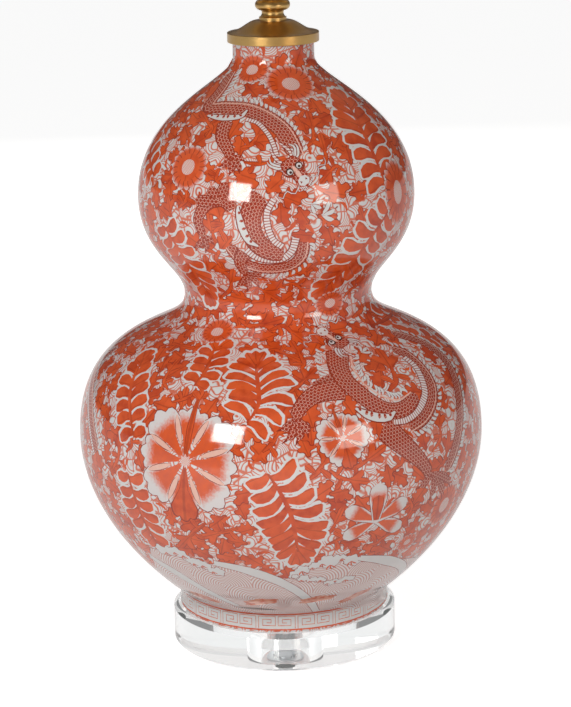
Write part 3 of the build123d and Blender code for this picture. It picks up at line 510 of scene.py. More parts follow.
def frond(spine, reach, leaves):
    """A fern frond: a bent stem with a row of drooping leaflets down each side, all with a white margin."""
    line = smooth(spine, 24)
    pitch = np.hypot(*spread(line[-1:], line[0])[0]) / leaves
    ahead = np.gradient(line, axis=0)
    ahead[:, 0] *= radius_at(line[:, 1]) / UNROLL
    ahead /= np.hypot(ahead[:, 0], ahead[:, 1])[:, None]
    leaflets = []
    for side in (1, -1):
        for k in range(leaves):
            share = (k + 0.25 + 0.3 * (side > 0)) / leaves
            i = min(int(share * (len(line) - 1)), len(line) - 1)
            fullness = math.sin(math.pi * (0.2 + 0.62 * share)) ** 0.8
            long = reach * fullness * (1 + 0.08 * math.sin(5 * k + side))
            lean = 0.15 + 0.75 * share
            out = np.array((-ahead[i][1], ahead[i][0])) * side
            crest = grid(line[i], [out * long * 0.5 + ahead[i] * long * (0.35 + 0.3 * share)])[0]
            tip, beyond = grid(line[i], [out * far * (1 - 0.25 * share) + ahead[i] * far * (lean - 0.32)
                                         for far in (long, long * 1.09)])
            leaflets.append((line[i], crest, tip, beyond, pitch * 1.02))
    for k in range(FAN):
        turn = (k - (FAN - 1) / 2) * 0.45
        way = np.array((ahead[-1][0] * math.cos(turn) - ahead[-1][1] * math.sin(turn),
                        ahead[-1][0] * math.sin(turn) + ahead[-1][1] * math.cos(turn)))
        crest, tip, beyond = grid(line[-1], [way * reach * 0.3, way * reach * 0.55, way * reach * 0.66])
        leaflets.append((line[-2], crest, tip, beyond, pitch * 0.85))
    for root, crest, tip, beyond, width in leaflets:
        brush("reserve", blade(root, crest, beyond, width + 3.6, 6))
    for root, crest, tip, beyond, width in leaflets:
        draw_blade("leaf", root, crest, tip, width)
    brush("leaf", stroke(line, 3.0, 0.5), line[0], line[-1])


PETAL_ROOT, PETAL_LOBES = 2, 3


def petal_shape(centre, turn, outer, width, depth):
    """A petal fanning out from a centre, its end cut into lobes."""
    t = np.linspace(-1, 1, 4 * PETAL_LOBES + 1)
    rim = outer * (1 - 0.16 * t ** 2) + depth * (np.abs(np.cos(t * math.pi * PETAL_LOBES / 2)) - 1)
    spread_angle = t * width / 2
    end = np.column_stack((rim * np.sin(spread_angle), rim * np.cos(spread_angle)))
    flank = outer * 0.45 * math.sin(width / 2 * 0.55)
    side = np.array([(-PETAL_ROOT * 0.3, PETAL_ROOT), (-flank, outer * 0.45)])
    return copied(centre, np.vstack([side, end, side[::-1] * (-1, 1)]), turn)


def peony(centre, radius, tilt=0.0, petals=8):
    """A flat open flower: lobed white petals with an orange blush, and one folded orange petal in front."""
    step = 2 * math.pi / petals
    for k in range(petals):
        turn = tilt + 360 * k / petals
        tip = copied(centre, [(0, radius)], turn)[0]
        for kind, grow in (("ink", 0.7), ("petal", 0.0)):
            outer = radius * (0.94 + 0.08 * (k % 2)) + grow
            width = step * (1.16 + grow * 0.03)
            brush(kind, petal_shape(centre, turn, outer, width, radius * 0.09), centre, tip)
    for k in range(petals):
        turn = tilt + 360 * (k + 0.5) / petals
        line = copied(centre, np.column_stack((np.zeros(5), np.linspace(0.3, 0.8, 5) * radius)), turn)
        brush("ink", stroke(line, radius * 0.1 + 0.9, 0.08))
        brush("soft", stroke(line, radius * 0.1, 0.05))
    root = copied(centre, [(0, radius * 1.08)], tilt)[0]
    for turn in (-55, 0, 55):
        bow = turn / 55 * radius * 0.06
        crest, tip = copied(root, [(bow, radius * 0.08), (0, radius * 0.2)], tilt + turn)
        draw_blade("leaf", root, crest, tip, radius * 0.12, 0.8, 5)
    stalk = np.vstack([centre, (centre + root) / 2, root])
    brush("ink", stroke(stalk, radius * 0.1 + 0.9, 0.6))
    brush("leaf", stroke(stalk, radius * 0.1, 0.6), centre, root)
    turn = tilt + 180
    tip = copied(centre, [(0, radius * 1.1)], turn)[0]
    brush("ink", petal_shape(centre, turn, radius * 1.12 + 0.8, step * 0.8, radius * 0.07))
    brush("leaf", petal_shape(centre, turn, radius * 1.12, step * 0.72, radius * 0.07), centre, tip)
    brush("core", grid(centre, ring(radius * 0.1, 8, 0.3, 8), 0), centre, centre + (0, 1))


def ring(radius, count, wave=0.0, lobes=8):
    """A round outline, cut into lobes by a share of its radius."""
    t = np.linspace(0, 2 * math.pi, count * 2 if wave else count, endpoint=False)
    r = radius * (1 + wave * np.cos(lobes * t))
    return np.column_stack((r * np.cos(t), r * np.sin(t)))


def chrysanthemum(centre, radius, squash=1.0, tilt=0.0, petals=18):
    """A round flower seen from above: a ring of narrow petals round a pale hatched heart."""
    for k in range(petals):
        turn = math.radians(tilt) + 2 * math.pi * k / petals
        way = np.array((math.cos(turn), math.sin(turn) * squash))
        root, crest, tip = grid(centre, [way * radius * 0.4, way * radius * 0.75, way * radius])
        width = 2 * math.pi * radius / petals * 0.98
        brush("ink", blade(root, crest, tip, width * 1.2, 5))
        brush("petal", blade(root, crest, tip, width, 5), centre, grid(centre, [way * radius * 1.25])[0])
    heart = ring(radius * 0.62, 20) * (1, squash)
    brush("leaf", grid(centre, heart), centre, centre + (0, radius * 1.2))
    brush("core", grid(centre, heart * 0.56), centre, centre + (0, 1))


def lily(centre, radius, tilt=0.0):
    """A five-petalled flower seen from the side, the middle petal outlined in front."""
    for turn, long in ((118, 0.95), (-118, 0.95), (64, 1.0), (-64, 1.0), (0, 1.05)):
        crest, tip = copied(centre, [(0, radius * long * 0.62), (0, radius * long)], tilt + turn)
        wide = radius * (0.42 if turn else 0.5)
        brush("ink", blade(centre, crest, tip, wide + 1.2, 9))
        brush("petal", blade(centre, crest, tip, wide, 9), centre, tip)
    crest, tip = copied(centre, [(0, radius * 0.4), (0, radius * 0.72)], tilt)
    brush("ink", blade(centre, crest, tip, radius * 0.3 + 0.9, 9))
    brush("leaf", blade(centre, crest, tip, radius * 0.3, 9), centre, tip)


def scroll(points, width, curl):
    """A piece of vine: a bent stem that ends in a three-lobed leaf, with a hook off its back."""
    line = smooth(points, 12)
    ahead = spread(line[-1:], line[-3])[0]
    long = 2.6 * width
    heading = math.degrees(math.atan2(ahead[1], ahead[0])) - 90
    lobes = []
    for turn, share in ((52 * curl, 0.85), (-58 * curl, 0.8), (0, 1.15)):
        offsets = [(0.3 * long * np.sign(turn), long * share * 0.6), (0, long * share)]
        lobes.append(grid(line[-1], offsets, heading + turn))
    brush("ink", stroke(line, width * 0.62 + 0.9, 0.5))
    for crest, tip in lobes:
        brush("ink", blade(line[-2], crest, tip, width * 1.02 + 0.9, 6))
    for crest, tip in lobes:
        brush("leaf", blade(line[-2], crest, tip, width * 1.02, 6), line[-2], tip)
    brush("leaf", stroke(line, width * 0.62, 0.5), line[0], line[-1])
    for place, side in ((4, 1), (7, -1)):
        left = normals(line)[place] * side * curl
        back = line[place] - (line[place + 2] - line[place]) * 0.6
        crest = line[place] + left * long * 0.42
        draw_blade("leaf", line[place], crest, back + left * long * 0.7, width * 0.72, 0.9, 6)


def fish_scales(line, low, high, edge=0.7):
    """A length of scaled body along a line, with a dark edge down both sides and rounded ends."""
    blunt = np.sqrt(1 - np.clip(np.abs(np.linspace(-1, 1, len(line))) * 9 - 8, 0, 0.98) ** 2)
    low, high = np.array(low) * blunt, np.array(high) * blunt
    brush("ink", band(line, low - edge, high + edge))
    brush("scales", band(line, low, high), spine=line)


def spine_fringe(line, offset, size=3.4):
    """The row of small white curls along a dragon's back."""
    left = normals(line)
    length = np.concatenate([[0], np.cumsum(np.hypot(*spread(line[1:], line[:-1]).T))])
    side = math.copysign(1, offset)
    for at in np.arange(size / 2, length[-1], size):
        i = min(int(np.interp(at, length, np.arange(len(line)))), len(line) - 2)
        step = line[i + 1] - line[i]
        step = step / max(np.hypot(*spread(line[i + 1:i + 2], line[i])[0]), 1e-6)
        root = line[i] + left[i] * offset
        crest = root + left[i] * side * size * 0.9 + step * size * 0.1
        tip = root + left[i] * side * size * 1.15 - step * size * 0.8
        draw_blade("reserve", root, crest, tip, size * 0.62, 0.7, 5)


def comb_fin(line, width, teeth):
    """A white crescent fin whose inner edge is cut by the dark body into teeth."""
    t = np.linspace(0, 1, len(line))
    half = width * np.sin(math.pi * np.clip(t, 0.02, 0.98)) ** 0.5
    brush("ink", band(line, -0.8, half + 0.8))
    brush("reserve", band(line, 0, half))
    left = normals(line)
    for k in range(teeth):
        i = int((k + 0.8) / (teeth + 0.6) * (len(line) - 1))
        root = line[i] + left[i] * (half[i] + 0.5)
        tip = line[i] + left[i] * half[i] * 0.4
        draw_blade("scales", root, (root + tip) / 2, tip, width * 0.42, count=5)


def claws(root, heading, size, count=3):
    """A foot of hooked toes with a tuft of hair."""
    for k in range(count):
        turn = heading + (k - (count - 1) / 2) * 42
        crest, tip = copied(root, [(size * 0.25, size * 0.6), (0, size)], turn)
        draw_blade("reserve", root, crest, tip, size * 0.3, 0.8, 6)
        end = copied(root, [(-size * 0.12, size * 1.32)], turn)[0]
        draw_blade("ink", tip, (tip + end) / 2, end, size * 0.12, count=4)
        crest, tip = copied(root, [(-size * 0.3, size * 0.4), (-size * 0.5, size * 0.8)], turn)
        draw_blade("leaf", root, crest, tip, size * 0.2, 0.6, 5)


def dragon_head(centre, heading, size):
    """The head from above: brow, eyes, muzzle and jaw on a dark mane, with horns and whiskers."""
    def at(*offsets):
        return copied(centre, np.array(offsets, float) * size, heading)

    def curve(*offsets):
        return smooth(at(*offsets), 9)
    for side in (1, -1):
        for k, (reach, bow) in enumerate(((1.1, 0.5), (1.3, 0.1), (1.15, -0.3))):
            mane = curve((side * 0.25, -0.1 - 0.1 * k), (side * (0.55 + 0.1 * k), -0.5 - bow * 0.3),
                         (side * (0.75 + 0.16 * k), -reach * 0.75), (side * (0.45 + 0.3 * k), -reach))
            brush("ink", stroke(mane, size * 0.24, 0.1))
            brush("reserve", stroke(mane, size * 0.13, 0.05))
        horn = curve((side * 0.2, -0.3), (side * 0.5, -0.95), (side * 0.35, -1.75))
        brush("ink", stroke(horn, size * 0.26, 0.2))
        brush("plates", stroke(horn, size * 0.16, 0.1))
    skull = at((-0.42, -0.55), (-0.62, -0.1), (-0.5, 0.3), (-0.42, 0.75), (-0.5, 1.15), (-0.25, 1.45),
               (0.25, 1.45), (0.5, 1.15), (0.42, 0.75), (0.5, 0.3), (0.62, -0.1), (0.42, -0.55))
    face = smooth(np.vstack([skull, skull[:1]]), 30)
    middle = at((0, 0.4))[0]
    brush("ink", middle + (face - middle) * 1.07)
    brush("scales", face, spine=at((0, -0.6), (0, 1.6)))
    muzzle = at((-0.3, 0.85), (-0.38, 1.12), (-0.18, 1.33), (0.18, 1.33), (0.38, 1.12), (0.3, 0.85), (0, 0.7))
    brush("reserve", muzzle)
    brush("soft", at((-0.16, 0.2), (-0.12, 0.72), (0.12, 0.72), (0.16, 0.2), (0, -0.1)))
    for side in (1, -1):
        brush("ink", at((side * 0.1, 1.05), (side * 0.24, 1.12), (side * 0.22, 0.94)))
        brush("eye", at(*(ring(0.24, 12) + (side * 0.34, 0.12))))
        brush("reserve", at(*(ring(0.17, 10) + (side * 0.35, 0.14))))
        brush("eye", at(*(ring(0.09, 8) + (side * 0.33, 0.18))))
        brow = curve((side * 0.08, 0.28), (side * 0.3, 0.47), (side * 0.62, 0.3), (side * 0.8, -0.05))
        brush("ink", stroke(brow, size * 0.13, 0.2))
        whisker = curve((side * 0.4, 1.1), (side * 0.95, 1.35), (side * 1.25, 0.9), (side * 1.7, 1.15),
                        (side * 1.9, 0.7))
        brush("ink", stroke(whisker, size * 0.15, 0.2))
        brush("reserve", stroke(whisker, size * 0.06, 0.1))
        for k in range(4):
            tooth = at((side * (0.08 + 0.1 * k), 1.42 - 0.05 * k), (side * (0.13 + 0.1 * k), 1.62 - 0.06 * k),
                       (side * (0.18 + 0.1 * k), 1.38 - 0.05 * k))
            brush("reserve", tooth)


def belly_plates(pixels, count, half, outer):
    """A strip of pale belly plates with a dark edge."""
    line = smooth(seen(*pixels), count)
    brush("ink", band(line, -outer, outer))
    brush("plates", band(line, -half, half), spine=line)


def dragon_body(pixels, width, back=1, belly=False, fringe=True, count=60):
    """A length of dragon: scales, a fringed back on one side and a pale belly of plates on the other."""
    line = smooth(seen(*pixels), count)
    half = np.interp(np.linspace(0, 1, count), (0, 1), np.broadcast_to(width, 2)) / 2
    if fringe:
        spine_fringe(line, back * half.mean())
    fish_scales(line, -half, half)
    if fringe:
        brush("soft", band(line, back * (half - 1.6), back * (half - 0.8)))
    if belly:
        low, high = -back * half, -back * (half - np.minimum(3.4, half * 0.5))
        brush("ink", band(line, low - back * 0.6, high + back * 0.6))
        brush("plates", band(line, low, high), spine=line)


def draw_flames(root, tips, width, edge):
    """Scaled flames that stand off a leg."""
    root = seen(root)[0]
    for tip in seen(*tips):
        draw_blade("scales", root, (root + tip) / 2, tip, width, edge)


def draw_leg(pixels, toes, wide, narrow, toe_width):
    """A scaled leg that thins to the ankle, with pointed toes, each tipped by a dark claw."""
    line = smooth(seen(*pixels), 20)
    half = np.linspace(wide, narrow, len(line))
    for tip in seen(*toes):
        reach = tip - line[-1]
        bow = np.array([-reach[1], reach[0]]) * 0.22
        claw_end = tip + reach * 0.22 - bow * 0.5
        draw_blade("ink", line[-1] + reach * 0.7, line[-1] + reach * 0.95 + bow * 0.3, claw_end, 1.6, count=4)
        draw_blade("scales", line[-1], line[-1] + reach * 0.5 + bow, tip, toe_width, 0.9)
    fish_scales(line, -half, half)


# The upper dragon's parts in pixels of the photograph.
UPPER = {
    "hind leg": ((235, 207), (222, 199), (207, 204), (198, 219), (203, 236)),
    "hind toes": ((196, 247), (206, 250), (213, 243)),
    "knee": (218, 202),
    "knee flames": ((226, 182), (209, 187), (195, 200)),
    "arm": ((226, 121), (222, 136), (228, 150), (231, 158)),
    "fingers": ((221, 166), (230, 173), (239, 170), (243, 160)),
    "loop": ((229, 246), (243, 262), (258, 268), (274, 269), (290, 266), (301, 257), (304, 242)),
    "foot": ((245, 252), (240, 262), (245, 274)),
    "toes": ((238, 286), (248, 289), (258, 285), (262, 277)),
    "loop belly": ((246, 250), (256, 257), (268, 260), (282, 259), (292, 251), (296, 238)),
    "trunk": ((262, 196), (254, 205), (250, 218), (252, 234), (260, 246), (272, 252), (284, 252)),
    "throat": ((274, 199), (267, 212), (268, 228), (274, 241), (283, 247)),
    "trunk fin": ((258, 247), (247, 243), (239, 230), (236, 214), (237, 206)),
    "neck": ((232, 72), (222, 88), (209, 106), (224, 107), (247, 109), (266, 117), (282, 129), (291, 143),
             (297, 157)),
    "neck belly": ((246, 119), (258, 123), (268, 134), (274, 146), (277, 156)),
    "neck fin": ((207, 116), (218, 120), (232, 120), (243, 117), (248, 110)),
    "head": (293, 167),
    "hooks": (((322, 214), -75, 9), ((312, 203), -120, 7))}


def upper_dragon():
    """The dragon on the bulb, from its hind leg to its head."""
    draw_leg(UPPER["hind leg"], UPPER["hind toes"], 5, 2.4, 3.6)
    draw_flames(UPPER["knee"], UPPER["knee flames"], 6.5, 1.2)
    draw_leg(UPPER["arm"], UPPER["fingers"], 5, 2.6, 3.8)
    dragon_body(UPPER["loop"], 7.5, -1)
    draw_leg(UPPER["foot"], UPPER["toes"], 4.6, 2.2, 3.6)
    belly_plates(UPPER["loop belly"], 30, 2.2, 3)
    fish_scales(smooth(seen(*UPPER["trunk"]), 40), -6.2, 6.2)
    belly_plates(UPPER["throat"], 24, 1.8, 2.4)
    comb_fin(smooth(seen(*UPPER["trunk fin"]), 24)[::-1], 4.6, 5)
    dragon_body(UPPER["neck"], (8, 11.5), count=90)
    belly_plates(UPPER["neck belly"], 24, 1.3, 1.9)
    comb_fin(smooth(seen(*UPPER["neck fin"]), 20), 4.4, 6)
    dragon_head(seen(UPPER["head"])[0], 215, 10.5)
    for place, heading, size in UPPER["hooks"]:
        claws(seen(place)[0], heading, size)


# The lower dragon's parts in pixels of the photograph.
LOWER = {
    "tail": ((392, 333), (415, 339), (438, 352), (453, 373), (459, 397), (460, 421), (455, 449), (446, 470)),
    "elbow": (327, 391),
    "elbow flames": ((313, 382), (322, 377), (332, 374)),
    "arm": ((345, 388), (326, 391), (311, 397), (300, 408), (295, 419)),
    "fingers": ((281, 430), (287, 440), (298, 441), (308, 434)),
    "hind leg": ((384, 426), (396, 438), (411, 451), (423, 463), (430, 474)),
    "toes": ((420, 487), (431, 497), (442, 495), (449, 483)),
    "loop": ((392, 349), (405, 353), (420, 366), (431, 383), (432, 401), (424, 417), (410, 427)),
    "loop belly": ((404, 357), (415, 366), (422, 379), (425, 394), (419, 409), (407, 419), (394, 421)),
    "trunk": ((337, 350), (338, 366), (345, 380), (358, 392), (374, 404), (391, 411), (407, 407), (416, 394)),
    "trunk ridge": ((350, 352), (353, 368), (363, 383), (380, 395), (398, 400), (411, 392)),
    "neck ridge": ((325, 352), (326, 366), (331, 378)),
    "trunk fin": ((355, 409), (366, 418), (380, 422), (391, 420), (396, 412)),
    "head": (337, 341),
    "hook": (361, 352)}


def lower_dragon():
    """The dragon on the shoulder of the belly, from its tail to its head."""
    dragon_body(LOWER["tail"], (9, 8))
    draw_flames(LOWER["elbow"], LOWER["elbow flames"], 6.5, 1.0)
    draw_leg(LOWER["arm"], LOWER["fingers"], 8, 3, 4.8)
    draw_leg(LOWER["hind leg"], LOWER["toes"], 8.5, 3.2, 5)
    dragon_body(LOWER["loop"], 8.5)
    belly_plates(LOWER["loop belly"], 36, 2.3, 3)
    dragon_body(LOWER["trunk"], (14, 8.5), fringe=False)
    ridge = smooth(seen(*LOWER["trunk ridge"]), 30)
    brush("soft", band(ridge, -0.5, 0.5))
    spine_fringe(ridge, 1.2)
    spine_fringe(smooth(seen(*LOWER["neck ridge"]), 14), -2.0)
    comb_fin(smooth(seen(*LOWER["trunk fin"]), 24), 5.6, 6)
    dragon_head(seen(LOWER["head"])[0], 28, 11)
    claws(seen(LOWER["hook"])[0], -60, 7)


EDGE_TRUNK = ((104, 338), (97, 356), (92, 380), (90, 404), (92, 430), (96, 452))


def foam_crest(points, size, seed):
    """Breaking foam along a wave's crest: a row of white lobes with thin dark edges and coral tips."""
    wobble = np.random.default_rng(seed)
    line = smooth(points, 26)
    lobes = []
    for i in range(0, len(line), 2):
        big = size * wobble.uniform(0.55, 1.1)
        off = wobble.uniform(-0.6, 0.6) * size
        lobes.append((grid(line[i], [(wobble.uniform(-1, 1), off)])[0], big, wobble.uniform(0, 360)))
    for centre, big, turn in lobes:
        brush("ink", grid(centre, ring(big + 0.45, 9, 0.16, 5), turn))
    for centre, big, turn in lobes:
        brush("reserve", grid(centre, ring(big, 9, 0.16, 5), turn))
    for centre, big, turn in lobes[1::2]:
        for k in range(3):
            crest, tip = grid(centre, [(0, -big * 0.8), (big * 0.35, -big * 1.35)], -30 + 30 * k)
            draw_blade("leaf", centre - (0, big * 0.3), crest, tip, big * 0.2, 0.3, 4)


def wave_band(points, width):
    """A bare white sweep of water between the fine combed lines."""
    line = smooth(points, 26)
    t = np.linspace(0, 1, len(line))
    half = np.interp(t, (0, 0.25, 1), (0.55, 1, 0.5)) * width / 2
    brush("ink", band(line, -half - 0.45, half + 0.45))
    brush("reserve", band(line, -half, half))


WATER_TOP = 72.0                # how far up the skin the water reaches, from the foot
WATER_LOW = ((430, 575), (398, 600), (350, 608), (290, 610), (230, 606), (190, 596), (150, 580))
SWELL = ((150, 548), (165, 551), (183, 556), (204, 564), (216, 564), (245, 570), (262, 576), (290, 584),
         (300, 572), (318, 565), (341, 561), (362, 562), (392, 560), (420, 556))
FOAM = ((((160, 549), (175, 553), (190, 560), (204, 566), (220, 572)), 4.2, 4),
        (((296, 574), (310, 569), (325, 563), (341, 560), (358, 562)), 4.6, 9),
        (((296, 578), (312, 580), (330, 582), (352, 578)), 3.2, 12))
SWEEPS = ((((214, 563), (245, 570), (280, 582), (305, 597), (316, 611)), 8.6),
          (((150, 556), (175, 572), (205, 590), (238, 606)), 9.5),
          (((360, 558), (385, 560), (402, 566), (400, 576), (388, 586)), 8.5))
WASHES = (((262, 603), 10), ((205, 598), -20), ((356, 596), 25), ((318, 600), 0))


def water():
    """Combed water all round the foot, with a dark line along its top."""
    round_line = np.linspace(SEAM, SEAM + 2 * math.pi, 241)[:-1]
    high = WATER_TOP - 12 + 9 * np.sin(3 * round_line + 0.6) + 4 * np.sin(7 * round_line)
    turns = np.append(round_line * UNROLL, SLIT + LAP)
    upper = np.column_stack((turns, np.append(high, high[0])))
    lower = lap_line_at(turns, FOOT_RING - FOOT_EDGE + 0.4)
    brush("ink", np.vstack([lower, (upper + (0, 0.5))[::-1]]))
    brush("water", np.vstack([lower, upper[::-1]]), (SLIT, 0))


def front_water():
    """The crests, bare sweeps and soft wash of one side, over combed water that rises to them."""
    low_line, swell = seen(*WATER_LOW), seen(*SWELL)
    brush("ink", np.vstack([low_line, swell + (0, 0.5)]))
    brush("water", np.vstack([low_line, swell]), (SLIT, 0))
    for pixels, size, seed in FOAM:
        foam_crest(seen(*pixels), size, seed)
    for pixels, width in SWEEPS:
        wave_band(seen(*pixels), width)
    for place, tilt in WASHES:
        origin = seen(place)[0]
        for k in range(3):
            brush("wash", grid(origin, ring(6.5 - k, 8, 0.3, 3) * (1.7, 0.5) + (3 * k - 3, 2 * k), tilt))


def lap_line_at(turns, level):
    """A line round the body at one level up its skin."""
    return np.column_stack((turns, np.full(len(turns), level)))


KEY_PAIRS = 17
KEY_LINE = 0.26                 # half the width of the key's line
KEY_TURNS = ((-1, -1), (-1, 1), (1, 1), (1, -0.55), (-0.5, -0.55), (-0.5, 0.5), (0.5, 0.5), (0.5, -0.08),
             (0, -0.08))


def greek_key():
    """The border round the foot ring: mirrored pairs of square spirals between two orange lines."""
    top, bottom = FOOT_RING - FOOT_EDGE - 0.6, 0.5
    lap_line = np.linspace(SLIT, SLIT + LAP, TURNS + 1)
    for level, thick in ((top + 0.15, 0.55), (bottom + 0.35, 0.5)):
        line = lap_line_at(lap_line, level)
        brush("leaf", np.vstack([line - (0, thick), (line + (0, thick))[::-1]]))
    brush("reserve", np.vstack([lap_line_at(lap_line, bottom + 0.9), lap_line_at(lap_line, top - 0.4)[::-1]]))
    low, high = bottom + 1.5, top - 1.1
    tall = high - low
    pair = LAP / KEY_PAIRS
    unit = pair / 2 * 0.86
    for k in range(2 * KEY_PAIRS):
        side = 1 if k % 2 else -1
        middle = SLIT + (k + 0.5) * pair / 2
        half_wide = unit / 2
        path = [(middle + side * x * half_wide, low + (y + 1) / 2 * tall) for x, y in KEY_TURNS]
        for a, b in zip(path, path[1:]):
            a, b = np.array(a), np.array(b)
            way = (b - a) / np.hypot(*(b - a))
            a, b = a - way * KEY_LINE, b + way * KEY_LINE
            off = np.array((-way[1], way[0])) * KEY_LINE
            brush("wash", [a - off, b - off, b + off, a + off])


# The motifs of one side in pixels of the photograph. Vine scrolls: the stem from its root to the
# leaf, its width in millimetres, and the side that its hook is on.
VINES = (
    (((176, 424), (180, 414), (182, 405)), 4.4, 1), (((112, 470), (118, 458), (119, 446)), 4.2, -1),
    (((126, 452), (132, 444), (130, 434)), 3.6, 1), (((238, 528), (228, 531), (216, 534)), 4.6, 1),
    (((206, 523), (196, 530), (188, 538)), 4.6, -1), (((262, 452), (272, 444), (277, 434)), 4.4, -1),
    (((308, 480), (318, 472), (324, 462)), 5.0, 1), (((345, 470), (358, 466), (370, 458)), 4.6, -1),
    (((330, 470), (340, 478), (352, 480)), 4.2, 1), (((392, 470), (402, 462), (404, 450)), 4.6, 1),
    (((326, 545), (338, 540), (350, 532)), 4.6, -1), (((366, 546), (378, 542), (388, 534)), 4.4, 1),
    (((318, 536), (330, 532), (336, 522)), 3.8, 1), (((408, 497), (412, 508), (406, 518)), 4.0, -1),
    (((436, 470), (444, 462), (447, 450)), 4.4, 1), (((432, 452), (440, 440), (440, 426)), 4.0, -1),
    (((238, 318), (250, 326), (264, 324)), 4.6, 1), (((270, 330), (284, 326), (294, 334)), 4.4, -1),
    (((312, 330), (304, 322), (306, 312)), 3.8, 1), (((262, 352), (276, 350), (290, 356)), 4.2, -1),
    (((300, 372), (304, 362), (298, 352)), 4.2, 1), (((286, 394), (296, 388), (306, 378)), 4.0, -1),
    (((196, 300), (206, 306), (218, 304)), 4.0, 1), (((176, 330), (186, 322), (190, 312)), 4.2, -1),
    (((162, 348), (172, 344), (182, 346)), 3.8, 1), (((352, 318), (362, 308), (360, 298)), 4.4, -1),
    (((372, 326), (384, 320), (392, 312)), 4.0, 1), (((168, 390), (164, 380), (170, 370)), 3.8, -1),
    (((172, 402), (186, 398), (196, 392)), 3.8, 1), (((152, 420), (160, 428), (160, 438)), 3.4, 1),
    (((240, 148), (252, 144), (258, 134)), 4.2, 1), (((244, 162), (258, 164), (270, 162)), 3.6, -1),
    (((206, 138), (212, 128), (206, 120)), 3.8, 1), (((220, 168), (216, 178), (222, 186)), 3.6, -1),
    (((314, 118), (306, 112), (298, 108)), 4.0, -1), (((306, 148), (314, 138), (312, 126)), 4.2, 1),
    (((318, 168), (326, 160), (324, 148)), 3.8, -1), (((346, 172), (336, 166), (330, 172)), 3.6, 1),
    (((208, 252), (214, 242), (212, 230)), 4.4, 1), (((222, 268), (216, 258), (222, 248)), 4.0, -1),
    (((178, 208), (186, 200), (186, 190)), 4.0, 1), (((306, 272), (316, 264), (328, 262)), 3.8, -1),
    (((244, 292), (256, 288), (266, 292)), 4.2, 1), (((282, 286), (294, 284), (302, 290)), 4.2, -1),
    (((318, 296), (330, 290), (336, 280)), 4.2, 1), (((342, 300), (350, 290), (360, 284)), 3.8, -1),
    (((166, 232), (172, 222), (170, 210)), 3.6, -1), (((356, 240), (366, 232), (364, 220)), 3.4, 1),
    (((380, 160), (388, 150), (388, 140)), 3.4, 1), (((346, 118), (356, 110), (356, 100)), 3.4, -1),
    (((220, 298), (230, 290), (232, 280)), 4.0, 1), (((202, 286), (210, 278), (208, 268)), 4.0, -1))
LATE_VINES = ((((388, 392), (396, 380), (390, 366)), 6.0, 1), (((213, 232), (222, 226), (220, 216)), 5.0, -1))
# Fern fronds: the stem from its root to the tip, the leaflets' length and how many each side has.
FRONDS = (
    (((134, 437), (130, 410), (130, 392), (144, 358)), 16, 7),
    (((247, 423), (256, 410), (259, 396), (256, 364)), 24, 7),
    (((268, 474), (281, 494), (292, 518), (298, 552)), 24, 8),
    (((128, 474), (136, 500), (146, 524), (158, 545)), 17, 7),
    (((164, 226), (178, 248), (192, 270), (208, 294)), 17, 8),
    (((154, 176), (150, 160), (154, 140), (164, 122)), 14, 6),
    (((386, 187), (376, 160), (362, 130), (344, 100)), 21, 8),
    (((388, 211), (372, 236), (350, 264), (325, 288)), 19, 8),
    (((194, 386), (206, 370), (214, 350), (222, 346)), 14, 5),
    (((396, 296), (410, 306), (424, 318), (440, 336)), 14, 6))
# Flowers: the kind, the centre, and the radius and other settings of that kind.
FLOWERS = (
    (peony, (185, 461), (37.5, -4)),
    (chrysanthemum, (217, 332), (12.5, 0.85)),
    (chrysanthemum, (330, 303), (11.5, 0.8, 5)),
    (chrysanthemum, (188, 167), (15, 1.0)),
    (chrysanthemum, (291, 84), (17, 0.95, 0, 20)),
    (chrysanthemum, (252, 70), (12, 0.9, 7)),
    (chrysanthemum, (398, 192), (15, 1.5, 0, 16)),
    (peony, (343, 438), (18, 12, 7)),
    (chrysanthemum, (444, 505), (15, 1.1, 0, 16)),
    (lily, (376, 520), (25,)),
    (chrysanthemum, (407, 542), (8.5, 0.9, 0, 12)))


def front_layout():
    """The flowers, fronds, scrolls and dragons of one side, as the photograph shows them."""
    for pixels, width, curl in VINES:
        scroll(seen(*pixels), width, curl)
    for pixels, reach, leaves in FRONDS:
        frond(seen(*pixels), reach, leaves)
    for flower, place, settings in FLOWERS:
        flower(seen(place)[0], *settings)
    for pixels, width, curl in LATE_VINES:
        scroll(seen(*pixels), width, curl)
    dragon_body(EDGE_TRUNK, (8, 11), belly=True)
    lower_dragon()
    upper_dragon()


def inside(points, shape):
    """Which points lie within an outline, by how often it winds round them."""
    x, y = points[:, :1], points[:, 1:]
    after = np.roll(shape, -1, 0)
    side = (after[:, 0] - shape[:, 0]) * (y - shape[:, 1]) - (x - shape[:, 0]) * (after[:, 1] - shape[:, 1])
    rising = (shape[:, 1] <= y) & (after[:, 1] > y) & (side > 0)
    falling = (shape[:, 1] > y) & (after[:, 1] <= y) & (side < 0)
    return rising.sum(1) != falling.sum(1)


def laps(shape):
    """A shape as it lies on the slit skin, twice where it crosses the slit."""
    shape = shape - (math.floor((shape[:, 0].mean() - SLIT) / LAP) * LAP, 0)
    copies = [shape]
    if shape[:, 0].min() < SLIT:
        copies.append(shape + (LAP, 0))
    if shape[:, 0].max() > SLIT + LAP:
        copies.append(shape - (LAP, 0))
    return copies


# One side of a lobed leaf, from its stalk to its tip, as shares of its length: (across, along).
LEAF_SIDE = [(0.06, 0.0), (0.11, 0.22), (0.36, 0.26), (0.44, 0.38), (0.16, 0.46), (0.33, 0.58), (0.30, 0.70),
             (0.12, 0.70), (0.15, 0.92)]


